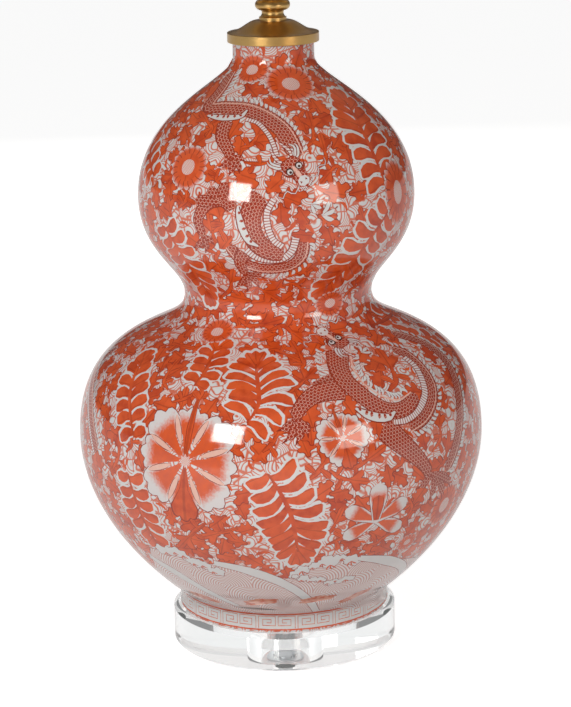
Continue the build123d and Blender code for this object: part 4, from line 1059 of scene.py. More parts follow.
def lobed_leaf(root, heading, long, curl, grow=0.0):
    """A bent leaf with rounded lobes down both sides."""
    side = np.array(LEAF_SIDE)
    both = np.vstack([side, side[::-1] * (-0.86, 1)]) * long
    both += grow * np.sign(both) * (1, 0) + ((both[:, 1:] / long - 0.5) * (0, 2 * grow))
    after = np.roll(both, -1, 0)
    both = np.stack([0.78 * both + 0.22 * after, 0.22 * both + 0.78 * after], 1).reshape(-1, 2)
    turn = curl * both[:, 1] / long
    bent_over = np.column_stack((both[:, 0] * np.cos(turn) + long * curl * 0.5 * (both[:, 1] / long) ** 2,
                                 both[:, 1] - both[:, 0] * np.sin(turn)))
    return grid(root, bent_over, heading)


def free_places(covered, spacing, low, high, chance, jitter):
    """An uneven scatter of places on the skin that no painted shape covers."""
    places = []
    for k, v in enumerate(np.arange(low, high, spacing * 0.86)):
        count = max(3, int(2 * math.pi * radius_at(v) / spacing))
        u = SLIT + (np.arange(count) + 0.5 * (k % 2)) / count * LAP
        places.append(np.column_stack((u, np.full(count, v))))
    places = np.vstack(places)
    places += chance.uniform(-jitter, jitter, places.shape) * spacing
    free = np.ones(len(places), bool)
    for shape in covered:
        near = np.flatnonzero(((places > shape.min(0)) & (places < shape.max(0))).all(1) & free)
        if len(near):
            free[near[inside(places[near], shape)]] = False
    return places[free]


def foliage(covered, spacing=15.0, seed=11):
    """Lobed leaves and curled tendrils over all bare ground, each turned its own way."""
    chance = np.random.default_rng(seed)
    for place in free_places(covered, spacing, WATER_TOP - 10, TOP - 12, chance, 0.24):
        angle = place[0] / UNROLL
        flow = 70 * math.sin(3 * angle + 0.03 * place[1]) + 60 * math.sin(0.05 * place[1] - 4 * angle)
        heading = flow + chance.normal(0, 55)
        long = spacing * chance.uniform(0.95, 1.25)
        curl = chance.choice((-1, 1)) * chance.uniform(0.4, 1.0)
        root = grid(place, [(0, -long * 0.5)], heading)[0]
        tip = grid(root, [(0, long)], heading)[0]
        brush("ink", lobed_leaf(root, heading, long, curl, grow=0.55))
        brush("leaf", lobed_leaf(root, heading, long, curl), root, tip)
    for place in free_places(covered + [s["shape"] for s in shapes], spacing * 0.8, WATER_TOP - 10, TOP - 10,
                             chance, 0.45):
        heading = chance.uniform(0, 360)
        long = spacing * chance.uniform(0.45, 0.7)
        crest, tip = grid(place, [(long * 0.35, long * 0.5), (0, long)], heading)
        brush("leaf", blade(place, crest, tip, long * 0.3, 4), place, tip)


for layout_turn, layout_flip in ((math.pi, -1), (0.0, 1)):
    front_layout()
figures = shapes
shapes = []
water()
greek_key()
for layout_turn, layout_flip in ((math.pi, -1), (0.0, 1)):
    front_water()
water_shapes, shapes = shapes, []
foliage([lap for s in figures + water_shapes[:2] for lap in laps(s["shape"])])
shapes = shapes + water_shapes[:2] + figures + water_shapes[2:]


def thinned(shape, slack=0.12):
    """An outline without the points that lie on the line between their neighbours."""
    for start in (1, 0):
        if len(shape) > 8:
            before, after = np.roll(shape, 1, 0), np.roll(shape, -1, 0)
            chord, away = after - before, shape - before
            off = np.abs(chord[:, 0] * away[:, 1] - chord[:, 1] * away[:, 0]) / (np.hypot(*chord.T) + 1e-9)
            number = np.arange(len(shape))
            spare = (off < slack) & (number % 2 == start) & (number < len(shape) - 1)
            shape = shape[~spare]
    return shape


def unrolled_mesh():
    """The painted skin as triangles on the unrolled surface, each with the shape that it belongs to."""
    columns = SLIT + np.arange(TURNS + 1) / TURNS * LAP
    rows = np.linspace(0, TOP, ROWS + 1)
    border = np.vstack([np.column_stack((columns[:-1], np.zeros(TURNS))),
                        np.column_stack((np.full(ROWS, SLIT + LAP), rows[:-1])),
                        np.column_stack((columns[:0:-1], np.full(TURNS, TOP))),
                        np.column_stack((np.full(ROWS, SLIT), rows[:0:-1]))])
    points = [border]
    edges = [(i, (i + 1) % len(border)) for i in range(len(border))]
    inner_columns, inner_rows = np.meshgrid(columns[1:-1], rows[1:-1])
    points.append(np.column_stack((inner_columns.ravel(), inner_rows.ravel())))
    count = sum(len(p) for p in points)
    laid = [(number, lap) for number, s in enumerate(shapes) for lap in laps(thinned(s["shape"]))]
    fixed, fixed_edges = count, list(edges)
    for _, shape in laid:
        edges += [(count + i, count + (i + 1) % len(shape)) for i in range(len(shape))]
        points.append(shape)
        count += len(shape)
    flat, triangles, owner = laid_out(np.vstack(points), edges, laid)
    sides = np.sort(np.vstack([triangles[:, [0, 1]], triangles[:, [1, 2]], triangles[:, [2, 0]]]), 1)
    number = sides[:, 0] * len(flat) + sides[:, 1]
    order = np.argsort(number)
    number, beside = number[order], np.tile(owner, 3)[order]
    shared = np.flatnonzero((number[1:] == number[:-1]) & (beside[1:] != beside[:-1]))
    seen_edges = sides[order][shared]
    used, new_number = np.unique(straightened(flat, seen_edges), return_inverse=True)
    new_edges = fixed_edges + (new_number.reshape(-1, 2) + fixed).tolist()
    return laid_out(np.vstack([*points[:2], flat[used]]), new_edges, laid)


def straightened(flat, seen_edges, slack=0.14, longest=6.0):
    """The edges between seen shapes, without the points between two that run almost straight on."""
    beside = {}
    for a, b in seen_edges.tolist():
        beside.setdefault(a, []).append(b)
        beside.setdefault(b, []).append(a)
    for _ in range(3):
        locked = set()
        for i, near in beside.items():
            if len(near) != 2 or i in locked:
                continue
            a, b = near
            (ax, ay), (bx, by), (x, y) = flat[a], flat[b], flat[i]
            chord = math.hypot(bx - ax, by - ay)
            off = abs((bx - ax) * (y - ay) - (x - ax) * (by - ay)) / (chord + 1e-9)
            if b not in beside[a] and chord < longest and off < slack:
                beside[a][beside[a].index(i)] = b
                beside[b][beside[b].index(i)] = a
                near.clear()
                locked.update((a, b))
    return np.array([(i, j) for i, near in beside.items() for j in near if i < j])


def laid_out(points, edges, laid):
    """Triangles between points that keep to the edges, and the topmost laid shape over each."""
    made = geometry.delaunay_2d_cdt([Vector(p) for p in points], edges, [], 0, 0.002, False)
    flat = np.array([v[:] for v in made[0]])
    triangles = np.array([f[:] for f in made[2]])
    middles = flat[triangles].mean(1)
    kept = ((middles > (SLIT, 0)) & (middles < (SLIT + LAP, TOP))).all(1)
    triangles, middles = triangles[kept], middles[kept]
    a, b, c = (flat[triangles[:, i]] for i in range(3))
    turned_over = (b[:, 0] - a[:, 0]) * (c[:, 1] - a[:, 1]) - (c[:, 0] - a[:, 0]) * (b[:, 1] - a[:, 1]) < 0
    triangles[turned_over] = triangles[turned_over][:, ::-1]
    order = np.argsort(middles[:, 0])
    sorted_round = middles[order, 0]
    owner = np.full(len(triangles), -1)
    for number, shape in laid:
        first, last = np.searchsorted(sorted_round, (shape[:, 0].min(), shape[:, 0].max()))
        near = order[first:last]
        level = middles[near, 1]
        near = near[(level > shape[:, 1].min()) & (level < shape[:, 1].max())]
        if len(near):
            owner[near[inside(middles[near], shape)]] = number
    return flat, triangles, owner


def grain_of(flat, triangles, owner):
    """For each corner of each triangle: how far along and across its shape it lies, and a chance number."""
    grain = np.zeros((len(triangles) * 3, 3))
    corners = flat[triangles].reshape(-1, 2)
    by_corner = np.repeat(owner, 3)
    order = np.argsort(by_corner, kind="stable")
    starts = np.searchsorted(by_corner[order], np.arange(len(shapes) + 1))
    for number, s in enumerate(shapes):
        mine = order[starts[number]:starts[number + 1]]
        if not len(mine):
            continue
        points = corners[mine].copy()
        home = s["base"] if s["spine"] is None else s["spine"].mean(0)
        points[:, 0] -= np.round((points[:, 0] - home[0]) / LAP) * LAP
        if s["spine"] is None:
            away = spread(points, s["base"])
            grain[mine, 0] = away @ s["grain"]
            grain[mine, 1] = away[:, 0] * s["grain"][1] - away[:, 1] * s["grain"][0]
        else:
            line = s["spine"]
            steps = spread(line[1:], line[:-1])
            lengths = np.hypot(*steps.T)
            along = np.concatenate([[0], np.cumsum(lengths)])
            away = spread(points[:, None] + 0 * line[None, :-1], line[None, :-1])
            share = np.clip((away * steps).sum(2) / lengths ** 2, 0, 1)
            off = away - share[..., None] * steps
            nearest = np.argmin((off ** 2).sum(2), 1)
            pick = np.arange(len(mine))
            grain[mine, 0] = along[nearest] + share[pick, nearest] * lengths[nearest]
            side = steps[nearest, 0] * away[pick, nearest, 1] - steps[nearest, 1] * away[pick, nearest, 0]
            grain[mine, 1] = side / lengths[nearest]
        grain[mine, 2] = (number * 0.6180339) % 1
    bare = by_corner < 0
    grain[bare, 0], grain[bare, 1] = corners[bare, 1], corners[bare, 0] - SLIT
    return grain


FOOT_RING_WIDTH, FOOT_RECESS, FLOOR_THICKNESS, FLOOR_COVE, FLOOR_HOLE = 9.0, 6.0, 7.0, 6.0, 9.0
FOOT_INSIDE = FOOT_RADIUS - FOOT_RING_WIDTH
floor_level = FOOT_RECESS + FLOOR_THICKNESS
quarter = np.linspace(0, math.pi / 2, 6)[1:, None]


def turned_edge(centre, radius, start):
    """A quarter turn of an edge's rounding, anticlockwise in the drawing of the section."""
    return np.array(centre) + radius * np.hstack((np.cos(start + quarter), np.sin(start + quarter)))


inner_wall = outline - WALL * np.column_stack((slope[:, 1], -slope[:, 0]))
inner_wall = inner_wall[(inner_wall[:, 1] > floor_level + FLOOR_COVE) & (inner_wall[:, 1] < RIM_HEIGHT - 3)]
inner_wall = inner_wall[::-6]
cove_top = inner_wall[-1]
lining = np.vstack([
    [(NECK_RADIUS, RIM_HEIGHT - RIM_EDGE)],
    turned_edge((NECK_RADIUS - RIM_EDGE, RIM_HEIGHT - RIM_EDGE), RIM_EDGE, 0),
    turned_edge((NECK_RADIUS - WALL + RIM_EDGE, RIM_HEIGHT - RIM_EDGE), RIM_EDGE, math.pi / 2),
    inner_wall,
    bent((cove_top, cove_top - (2, 3), (cove_top[0] - 8, floor_level), (cove_top[0] - 13, floor_level)),
         6)[1:],
    [(42, floor_level), (FLOOR_HOLE + 6, floor_level), (FLOOR_HOLE, floor_level), (FLOOR_HOLE, FOOT_RECESS),
     (FLOOR_HOLE + 6, FOOT_RECESS), (36, FOOT_RECESS), (FOOT_INSIDE - 2, FOOT_RECESS),
     (FOOT_INSIDE, FOOT_RECESS - 1), (FOOT_INSIDE, FOOT_EDGE)],
    turned_edge((FOOT_INSIDE + FOOT_EDGE, FOOT_EDGE), FOOT_EDGE, math.pi),
    turned_edge((FOOT_RADIUS - FOOT_EDGE, FOOT_EDGE), FOOT_EDGE, 1.5 * math.pi)])

flat, triangles, owner = unrolled_mesh()
skin_points, skin_facing = skin_place(flat[:, 1], flat[:, 0] / UNROLL)
round_steps = SEAM + np.arange(TURNS + 1) / TURNS * 2 * math.pi
lining_points = np.array([(r * math.sin(a), -r * math.cos(a), h + BODY_FOOT)
                          for r, h in lining for a in round_steps])
first = len(skin_points)
wide = TURNS + 1
corners = [first + j * wide + i for j in range(len(lining) - 1) for i in range(TURNS)]
quads = [(corner, corner + 1, corner + wide + 1, corner + wide) for corner in corners]

body_mesh = bpy.data.meshes.new("gourd")
body_mesh.from_pydata(np.vstack([skin_points, lining_points]) * MM, [], triangles.tolist() + quads)
skin_corners = 3 * len(triangles)
grain = np.zeros((len(body_mesh.loops), 3), np.float32)
grain[:skin_corners] = grain_of(flat, triangles, owner)
body_mesh.attributes.new("grain", "FLOAT_VECTOR", "CORNER").data.foreach_set("vector", grain.ravel())
CHART_EDGE, CHART_WIDTH = 0.005, 0.99           # the skin fills the top of the chart, the lining its foot
SKIN_CHART_FOOT, SKIN_CHART_HEIGHT = 0.13, 0.865
LINING_CHART_FOOT, LINING_CHART_HEIGHT = 0.003, 0.12
chart = np.zeros((len(body_mesh.loops), 2), np.float32)
corner_flat = flat[triangles].reshape(-1, 2)
chart[:skin_corners, 0] = CHART_EDGE + CHART_WIDTH * (corner_flat[:, 0] - SLIT) / LAP
chart[:skin_corners, 1] = SKIN_CHART_FOOT + SKIN_CHART_HEIGHT * corner_flat[:, 1] / TOP
lining_run = np.concatenate([[0], np.cumsum(np.hypot(*np.diff(lining, axis=0).T))])
quad_corners = np.array(quads).ravel() - first
chart[skin_corners:, 0] = CHART_EDGE + CHART_WIDTH * (quad_corners % wide) / TURNS
lining_share = lining_run[quad_corners // wide] / lining_run[-1]
chart[skin_corners:, 1] = LINING_CHART_FOOT + LINING_CHART_HEIGHT * lining_share
body_mesh.uv_layers.new(name="OFBake").data.foreach_set("uv", chart.ravel())
kinds = np.where(owner < 0, 0, np.array([s["kind"] for s in shapes])[owner])
kinds = np.concatenate([kinds, np.zeros(len(quads), int)]).astype(np.int32)
body_mesh.polygons.foreach_set("material_index", kinds)
body_mesh.polygons.foreach_set("use_smooth", np.ones(len(body_mesh.polygons), bool))
body_mesh.update()
welder = bmesh.new()
welder.from_mesh(body_mesh)
bmesh.ops.remove_doubles(welder, verts=welder.verts, dist=0.004 * MM)
welder.to_mesh(body_mesh)
welder.free()


def face_squarely(mesh):
    """Gives the outer skin the exact directions of the turned form, so that its gloss runs even."""
    places = np.empty(len(mesh.vertices) * 3)
    mesh.vertices.foreach_get("co", places)
    places = places.reshape(-1, 3) / MM
    height = places[:, 2] - BODY_FOOT
    radius = np.hypot(places[:, 0], places[:, 1])
    along = np.interp(height, outline[:, 1], arc)
    outer = abs(radius - radius_at(along)) < 0.06
    _, facing = skin_place(along, np.arctan2(places[:, 0], -places[:, 1]))
    facing[~outer] = 0
    mesh.normals_split_custom_set_from_vertices(facing.tolist())


face_squarely(body_mesh)

GLAZE_ROUGHNESS = 0.07
WHITE = tint(216, 216, 217)
ORANGE, DEEP_ORANGE, BRICK = tint(222, 92, 40), tint(172, 46, 12), tint(112, 26, 8)


def glaze(name, paint):
    """Glossy porcelain glaze over a painted colour, which paint(finish, along, across, chance) gives."""
    finish = finish_named(name)
    place = finish.add("ShaderNodeAttribute", {"attribute_name": "grain"}, out="Vector")
    colour = paint(finish, *finish.parts(place))
    ripple = finish.bump(finish.noise(38, 2), 0.05, 0.0012)
    return finish.body(Base_Color=colour, Roughness=finish.noise(60, 2) * 0.03 + GLAZE_ROUGHNESS - 0.015,
                       Normal=ripple, IOR=1.6)


def paint_ground(finish, along, across, chance):
    """Tendrils full of parallel arcs: each cell has arcs its own way, and a thin line round it."""
    place = finish.points()
    cells = {"Vector": place, "Scale": 115.0}
    cell = finish.add("ShaderNodeTexVoronoi", None, cells, "Color")
    reach = finish.add("ShaderNodeTexVoronoi", None, cells, "Distance")
    border = finish.add("ShaderNodeTexVoronoi", {"feature": "DISTANCE_TO_EDGE"}, cells, "Distance")
    away = finish.add("ShaderNodeVectorMath", {"operation": "SUBTRACT"}, {0: cell, 1: (0.5, 0.5, 0.5)})
    way = finish.add("ShaderNodeVectorMath", {"operation": "NORMALIZE"}, {0: away})
    run = finish.add("ShaderNodeVectorMath", {"operation": "DOT_PRODUCT"}, {0: way, 1: place}, "Value")
    arcs = abs((run * 560 + reach * 3.4 + finish.noise(90, 2) * 1.4) % 1 - 0.5).step(0.24, 0.42)
    line = (1 - border.step(0.02, 0.07)).math("MAXIMUM", arcs)
    return finish.blend(line * 0.92, WHITE, tint(206, 92, 52))


def paint_leaf(finish, along, across, chance):
    """A leaf in orange and deep orange, its midrib dark."""
    depth = finish.noise(150, 3) * 1.1 - 0.32 + chance * 0.3 - along * 0.1
    colour = finish.blend(depth.step(0.0, 1.0), ORANGE, DEEP_ORANGE)
    vein = abs(across).step(0.012, 0.035)
    return finish.blend((1 - vein) * 0.35, colour, BRICK)


def paint_petal(finish, along, across, chance):
    """A white petal whose orange blush spreads from its root in streaks."""
    streak = finish.noise(620, 2) * 0.16 - 0.08
    toward_end = (along + streak).step(0.62, 0.84)
    toward_side = (abs(across) / (along + 0.03) + streak * 0.6).step(0.24, 0.37)
    colour = finish.blend(finish.noise(180, 3).step(0.25, 0.8), ORANGE, tint(206, 84, 46))
    return finish.blend(toward_end.math("MAXIMUM", toward_side) * 0.94, colour, WHITE)


def paint_ink(finish, along, across, chance):
    """The dark line round the motifs, uneven as a brush leaves it."""
    return finish.blend(finish.noise(300, 2), BRICK, tint(166, 58, 32))


def paint_scales(finish, along, across, chance):
    """Rows of overlapping fish scales with pale rims."""
    row = across / 1.9 + 40
    number = row.math("FLOOR")
    shift = (along / 2.8 + (number % 2) * 0.5) % 1 - 0.5
    rise = row % 1
    reach = (shift * shift * 2.6 + rise * rise).math("SQRT")
    arc_line = 1 - abs(reach - 0.62).step(0.05, 0.15)
    ground = finish.blend(finish.noise(120, 2), tint(176, 56, 30), tint(142, 38, 20))
    return finish.blend(arc_line * 0.85, ground, tint(234, 190, 172))


def paint_plates(finish, along, across, chance):
    """Dark bars across a pale belly or horn."""
    bar = abs(along / 1.9 % 1 - 0.5).step(0.26, 0.4)
    return finish.blend(bar * 0.9, tint(226, 220, 220), tint(168, 62, 38))


def paint_reserve(finish, along, across, chance):
    """Bare white glaze with a faint touch of colour."""
    return finish.blend(finish.noise(200, 2).step(0.5, 0.8) * 0.14, WHITE, tint(222, 180, 166))


def paint_water(finish, along, across, chance):
    """Rows of combed waves, set off by half a wave in every other row."""
    x, y, z = finish.parts(finish.points())
    turn = x.math("ARCTAN2", y * -1) / (2 * math.pi)
    level = z * 1000 - BODY_FOOT
    row = (level + 4 * (turn * 10 * math.pi).math("SINE")) / 13
    number = row.math("FLOOR")
    shift = ((turn + 1) * 16 + (number % 2) * 0.5) % 1 - 0.5
    reach = (shift * shift * 6 + (row % 1) ** 2).math("SQRT")
    comb = abs(reach * 9 % 1 - 0.5).step(0.12, 0.4)
    return finish.blend(comb * 0.72, tint(224, 220, 221), tint(190, 110, 90))


def paint_wash(finish, along, across, chance):
    """Thin uneven colour, also that of the Greek key."""
    return finish.blend(finish.noise(240, 3).step(0.35, 0.65), tint(198, 92, 58), tint(216, 148, 122))


def paint_soft(finish, along, across, chance):
    """The palest wash, for centre lines and creases."""
    return finish.blend(finish.noise(300, 2), tint(232, 196, 184), tint(224, 170, 152))


def paint_eye(finish, along, across, chance):
    """Near black, for the eyes."""
    return finish.blend(finish.noise(300, 2), tint(52, 22, 14), tint(84, 30, 16))


def paint_core(finish, along, across, chance):
    """The crossed lines in the heart of a flower."""
    rising = abs((along + across) / 1.5 % 1 - 0.5).step(0.3, 0.42)
    falling = abs((along - across) / 1.5 % 1 - 0.5).step(0.3, 0.42)
    return finish.blend(rising.math("MAXIMUM", falling) * 0.8, tint(228, 214, 212), tint(204, 100, 68))


paints = [paint_ground, paint_leaf, paint_petal, paint_ink, paint_scales, paint_plates, paint_reserve,
          paint_water, paint_wash, paint_soft, paint_eye, paint_core]
for kind, paint in zip(KINDS, paints):
    body_mesh.materials.append(glaze("porcelain_" + kind, paint))
body = bpy.data.objects.new("gourd", body_mesh)
bpy.context.scene.collection.objects.link(body)
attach(body, "lamp")
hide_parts("gourd_body")

# ---- clamp stack and tube ---------------------------------------------------------------------
# Zinc-plated steel: the threaded tube from the disc's recess to the socket, its nuts and washers,
# and the ring that centres it in the neck. A rubber grommet centres it in the body's floor.


def metal(name, colour, worn, roughness, lines=(0.0, 0.0, 0.0), strength=0.0):
    """A plated or lacquered metal with a faint change of tone and the fine lines of its making."""
    finish = finish_named(name)
    tone = finish.noise(42, 3)
    stretched = finish.add("ShaderNodeMapping", None, {"Vector": finish.points(), "Scale": lines})
    grooves = finish.noise(1, 4, vector=stretched)
    return finish.body(Base_Color=finish.blend(tone.step(0.3, 0.75), colour, worn), Metallic=1.0,
                       Roughness=grooves * 0.12 + (roughness - 0.06) + tone * 0.05,
                       Normal=finish.bump(grooves, strength, 0.0004))


zinc = metal("zinc_plate", tint(196, 198, 200), tint(172, 174, 178), 0.32, (300, 300, 4000), 0.12)
dress(zinc, "base_washer", "lock_washer", "base_nut", "lamp_pipe", "neck_centring_ring")
rubber = finish_named("black_rubber")
rubber_tone = rubber.blend(rubber.noise(200), tint(30, 30, 31), tint(46, 45, 45))
rubber.body(Base_Color=rubber_tone, Roughness=0.62, Normal=rubber.bump(rubber.noise(1200), 0.2, 0.0004))
dress(rubber.owner, "floor_grommet")

# ---- felt gasket ------------------------------------------------------------------------------
# A ring punched from pressed grey felt, its cut edges furred. It lies between the porcelain rim and
# the brass cap, so that tightening the nut doesn't chip the glaze.


def turned(name, section, columns, finish, body_name, stands_for=(), ripple=None):
    """A ring or tube turned about the lamp's axis from a closed section of (radius, height) in mm."""
    section = np.array(section, float)
    steps = np.arange(columns) / columns * 2 * math.pi
    rows = len(section)
    radius = np.broadcast_to(section[:, 0], (columns, rows))
    height = np.broadcast_to(section[:, 1], (columns, rows))
    if ripple is not None:
        radius, height = ripple(steps[:, None], radius.copy(), height.copy())
    x, y = radius * np.sin(steps)[:, None], -radius * np.cos(steps)[:, None]
    points = np.stack((x, y, height), 2).reshape(-1, 3)
    faces = [(i * rows + j, ((i + 1) % columns) * rows + j, ((i + 1) % columns) * rows + (j + 1) % rows,
              i * rows + (j + 1) % rows) for i in range(columns) for j in range(rows)]
    mesh = bpy.data.meshes.new(name)
    mesh.from_pydata(points * MM, [], faces)
    mesh.polygons.foreach_set("use_smooth", np.ones(len(mesh.polygons), bool))
    mesh.materials.append(finish)
    solid = bmesh.new()
    solid.from_mesh(mesh)
    bmesh.ops.recalc_face_normals(solid, faces=solid.faces)
    solid.to_mesh(mesh)
    solid.free()
    mesh.set_sharp_from_angle(angle=math.radians(38))
    return finished(name, mesh, body_name, stands_for)


def finished(name, mesh, body_name, stands_for=()):
    """Puts a finished mesh in the scene, on its body and in place of the built pieces it stands for."""
    piece = bpy.data.objects.new(name, mesh)
    bpy.context.scene.collection.objects.link(piece)
    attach(piece, body_name)
    if stands_for:
        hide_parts(*stands_for)
    return piece


def extent(name):
    """A built piece's greatest radius from the axis and its lowest and highest level, in mm."""
    low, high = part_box(name)
    return max(high.x, high.y) / MM, low.z / MM, high.z / MM


felt = finish_named("grey_felt")
fibres = felt.noise(2600, 4)
felt.body(Base_Color=felt.blend(fibres, tint(70, 67, 62), tint(116, 111, 102)), Roughness=0.96,
          Sheen_Weight=0.4, Normal=felt.bump(fibres, 0.5, 0.0005))
gasket_out, gasket_low, gasket_high = extent("cap_gasket")
gasket_in = gasket_out - 5.2
inner_edge, outer_edge = gasket_in + 0.2, gasket_out - 0.1
corner_edge = gasket_out - 0.35


def fur(angle, radius, height):
    """Roughens the cut edges with an uneven wave."""
    wobble = np.sin(37 * angle) + np.sin(83 * angle + 1.3) + np.sin(131 * angle + 0.4)
    return radius + 0.05 * wobble * np.sign(radius - (gasket_out + gasket_in) / 2), height


gasket_section = [(inner_edge, gasket_low), (corner_edge, gasket_low), (outer_edge, gasket_low + 0.3),
                  (outer_edge, gasket_high - 0.3), (corner_edge, gasket_high), (inner_edge, gasket_high)]
turned("felt_gasket", gasket_section, 240, felt.owner, "lamp", ("cap_gasket",), fur)

# ---- cap and neck -----------------------------------------------------------------------------
# A cap spun from brass sheet covers the rim, and a turned brass neck stands on it. Both are satin
# finished on the lathe and lacquered, so fine lines run round them.

brass = finish_named("satin_brass")
bx, by, bz = brass.parts(brass.points())
turning = (bx * bx + by * by).math("SQRT")
lathe_run = brass.add("ShaderNodeCombineXYZ", None, {"X": turning * 5200, "Y": bz * 5200})
lathe_lines = brass.noise(1, 3, vector=lathe_run)
brass_tone = brass.noise(30, 4)
brass_colour = brass.blend(brass_tone.step(0.3, 0.8), tint(206, 168, 104), tint(184, 142, 80))
brass.body(Base_Color=brass_colour, Metallic=1.0, Roughness=lathe_lines * 0.14 + 0.2 + brass_tone * 0.06,
           Normal=brass.bump(lathe_lines, 0.14, 0.0003), Coat_Weight=0.25, Coat_Roughness=0.12)
dress(brass.owner, "vase_cap", "neck_spacer")

# ---- socket -----------------------------------------------------------------------------------
# A brass shell and cap over a moulded interior, with a card liner between them. Inside are the
# rolled screw shell for the bulb, the sprung contact and the two terminal screws.

SHELL_BEAD = 1.1
shell_out, shell_low, _ = extent("socket_shell")
shell_out -= SHELL_BEAD
dress(brass.owner, "socket_shell", "socket_cap")
dress(zinc, "socket_set_screw")
card = finish_named("fibre_card")
grey_fibre = card.noise(1800, 4)
dress(card.body(Base_Color=card.blend(grey_fibre, tint(104, 78, 50), tint(142, 112, 76)), Roughness=0.88,
                Normal=card.bump(grey_fibre, 0.3, 0.0003)), "socket_liner")
moulded = finish_named("moulded_black")
moulded.body(Base_Color=moulded.blend(moulded.noise(90), tint(28, 26, 25), tint(44, 40, 37)),
             Roughness=moulded.noise(500) * 0.1 + 0.38,
             Normal=moulded.bump(moulded.noise(1500), 0.08, 0.0003))
dress(moulded.owner, "socket_body")
bright_brass = metal("bright_brass", tint(222, 184, 112), tint(204, 160, 88), 0.2, (900, 900, 2600), 0.05)
dress(bright_brass, "centre_contact", "terminal_screws")

THREAD_PITCH, THREAD_DEPTH, SCREW_METAL, SCREW_RADIUS = 3.6, 0.75, 0.4, 13.2
SCREW_OUTSIDE = SCREW_RADIUS + SCREW_METAL
flange_out, screw_low, screw_high = extent("screw_shell")
thread_rows = np.linspace(screw_low + 1.2, screw_high - 1.4, 80)


def rolled(angle, radius, height):
    """Rolls the thread into the wall: a wave that climbs one pitch a turn, dying out at both ends."""
    inside_run = np.clip((height - screw_low - 1.4) / 2, 0, 1)
    inside_run = inside_run * np.clip((screw_high - 1.2 - height) / 2, 0, 1)
    wave = 0.5 + 0.5 * np.cos(2 * math.pi * (height / THREAD_PITCH) - angle)
    return radius + THREAD_DEPTH * (wave - 0.5) * inside_run * (radius < SCREW_RADIUS + 1), height


screw_section = [(flange_out, screw_low), (flange_out, screw_low + SCREW_METAL),
                 (SCREW_OUTSIDE, screw_low + SCREW_METAL), *((SCREW_OUTSIDE, z) for z in thread_rows),
                 (SCREW_OUTSIDE, screw_high), (SCREW_RADIUS, screw_high),
                 *((SCREW_RADIUS, z) for z in thread_rows[::-1]), (SCREW_RADIUS, screw_low)]
turned("rolled_screw_shell", screw_section, 96, bright_brass, "lamp", ("screw_shell",),
       rolled)


def ring_of_beads():
    """Nodes that set small rounded beads round a circle, such as stitches, ribs and knurls."""
    tree = bpy.data.node_groups.new("ring_of_beads", "GeometryNodeTree")
    names = {}
    for label, kind in (("Count", "Int"), ("Radius", "Float"), ("Thickness", "Float"), ("Width", "Float"),
                        ("Length", "Float"), ("Middle", "Vector"), ("Turn", "Vector"),
                        ("Finish", "Material")):
        made = tree.interface.new_socket(label, in_out="INPUT", socket_type="NodeSocket" + kind)
        names[label] = made.identifier
    tree.interface.new_socket("Geometry", in_out="OUTPUT", socket_type="NodeSocketGeometry")

    def node(kind, links, **settings):
        made = tree.nodes.new(kind)
        for key, value in settings.items():
            setattr(made, key, value)
        for key, value in links.items():
            if isinstance(value, bpy.types.NodeSocket):
                tree.links.new(value, made.inputs[key])
            else:
                made.inputs[key].default_value = value
        return made

    given = tree.nodes.new("NodeGroupInput").outputs
    circle = node("GeometryNodeCurvePrimitiveCircle", {"Resolution": 256, "Radius": given["Radius"]})
    places = node("GeometryNodeCurveToPoints",
                  {"Curve": circle.outputs["Curve"], "Count": given["Count"]}, mode="COUNT")
    bead = node("GeometryNodeMeshUVSphere", {"Segments": 8, "Rings": 6, "Radius": 1.0})
    size = node("ShaderNodeCombineXYZ", {"X": given["Thickness"], "Y": given["Width"], "Z": given["Length"]})
    set_out = node("GeometryNodeInstanceOnPoints", {
        "Points": places.outputs["Points"], "Instance": bead.outputs["Mesh"],
        "Rotation": places.outputs["Rotation"], "Scale": size.outputs["Vector"]})
    real = node("GeometryNodeRealizeInstances", {"Geometry": set_out.outputs["Instances"]})
    smooth_beads = node("GeometryNodeSetShadeSmooth", {"Geometry": real.outputs["Geometry"]})
    placed = node("GeometryNodeTransform", {"Geometry": smooth_beads.outputs["Geometry"],
                                            "Translation": given["Middle"], "Rotation": given["Turn"]})
    painted = node("GeometryNodeSetMaterial",
                   {"Geometry": placed.outputs["Geometry"], "Material": given["Finish"]})
    tree.links.new(painted.outputs["Geometry"], tree.nodes.new("NodeGroupOutput").inputs["Geometry"])
    return tree, names


bead_tree, bead_inputs = ring_of_beads()


def beads(name, body_name, finish, count, radius, size, middle, turn=(0.0, 0.0, 0.0)):
    """A ring of beads as one mesh: size is thickness outwards, width along the axis and length, in mm."""
    source = bpy.data.objects.new(name + "_source", bpy.data.meshes.new(name + "_source"))
    bpy.context.scene.collection.objects.link(source)
    modifier = source.modifiers.new("beads", "NODES")
    modifier.node_group = bead_tree
    for label, value in (("Count", count), ("Radius", radius * MM), ("Thickness", size[0] * MM),
                         ("Width", size[1] * MM), ("Length", size[2] * MM),
                         ("Middle", [v * MM for v in middle]), ("Turn", turn), ("Finish", finish)):
        modifier[bead_inputs[label]] = value
    bpy.context.view_layer.update()
    mesh = bpy.data.meshes.new_from_object(source.evaluated_get(bpy.context.evaluated_depsgraph_get()))
    source.modifiers.remove(modifier)
    bpy.data.objects.remove(source)
    mesh.name = name
    return finished(name, mesh, body_name)


beads("shell_crimp", "lamp", brass.owner, 48, shell_out, (0.35, 1.6, 0.55), (0, 0, shell_low + 6.4))
beads("cap_crimp", "lamp", brass.owner, 48, extent("socket_cap")[0], (0.3, 1.2, 0.5),
      (0, 0, extent("socket_cap")[2] - 1.9))

# ---- switch -----------------------------------------------------------------------------------
# A turn knob moulded in black phenolic, with grip ribs round its collar. It is screwed on a plated
# steel stem that comes out of the side of the socket.

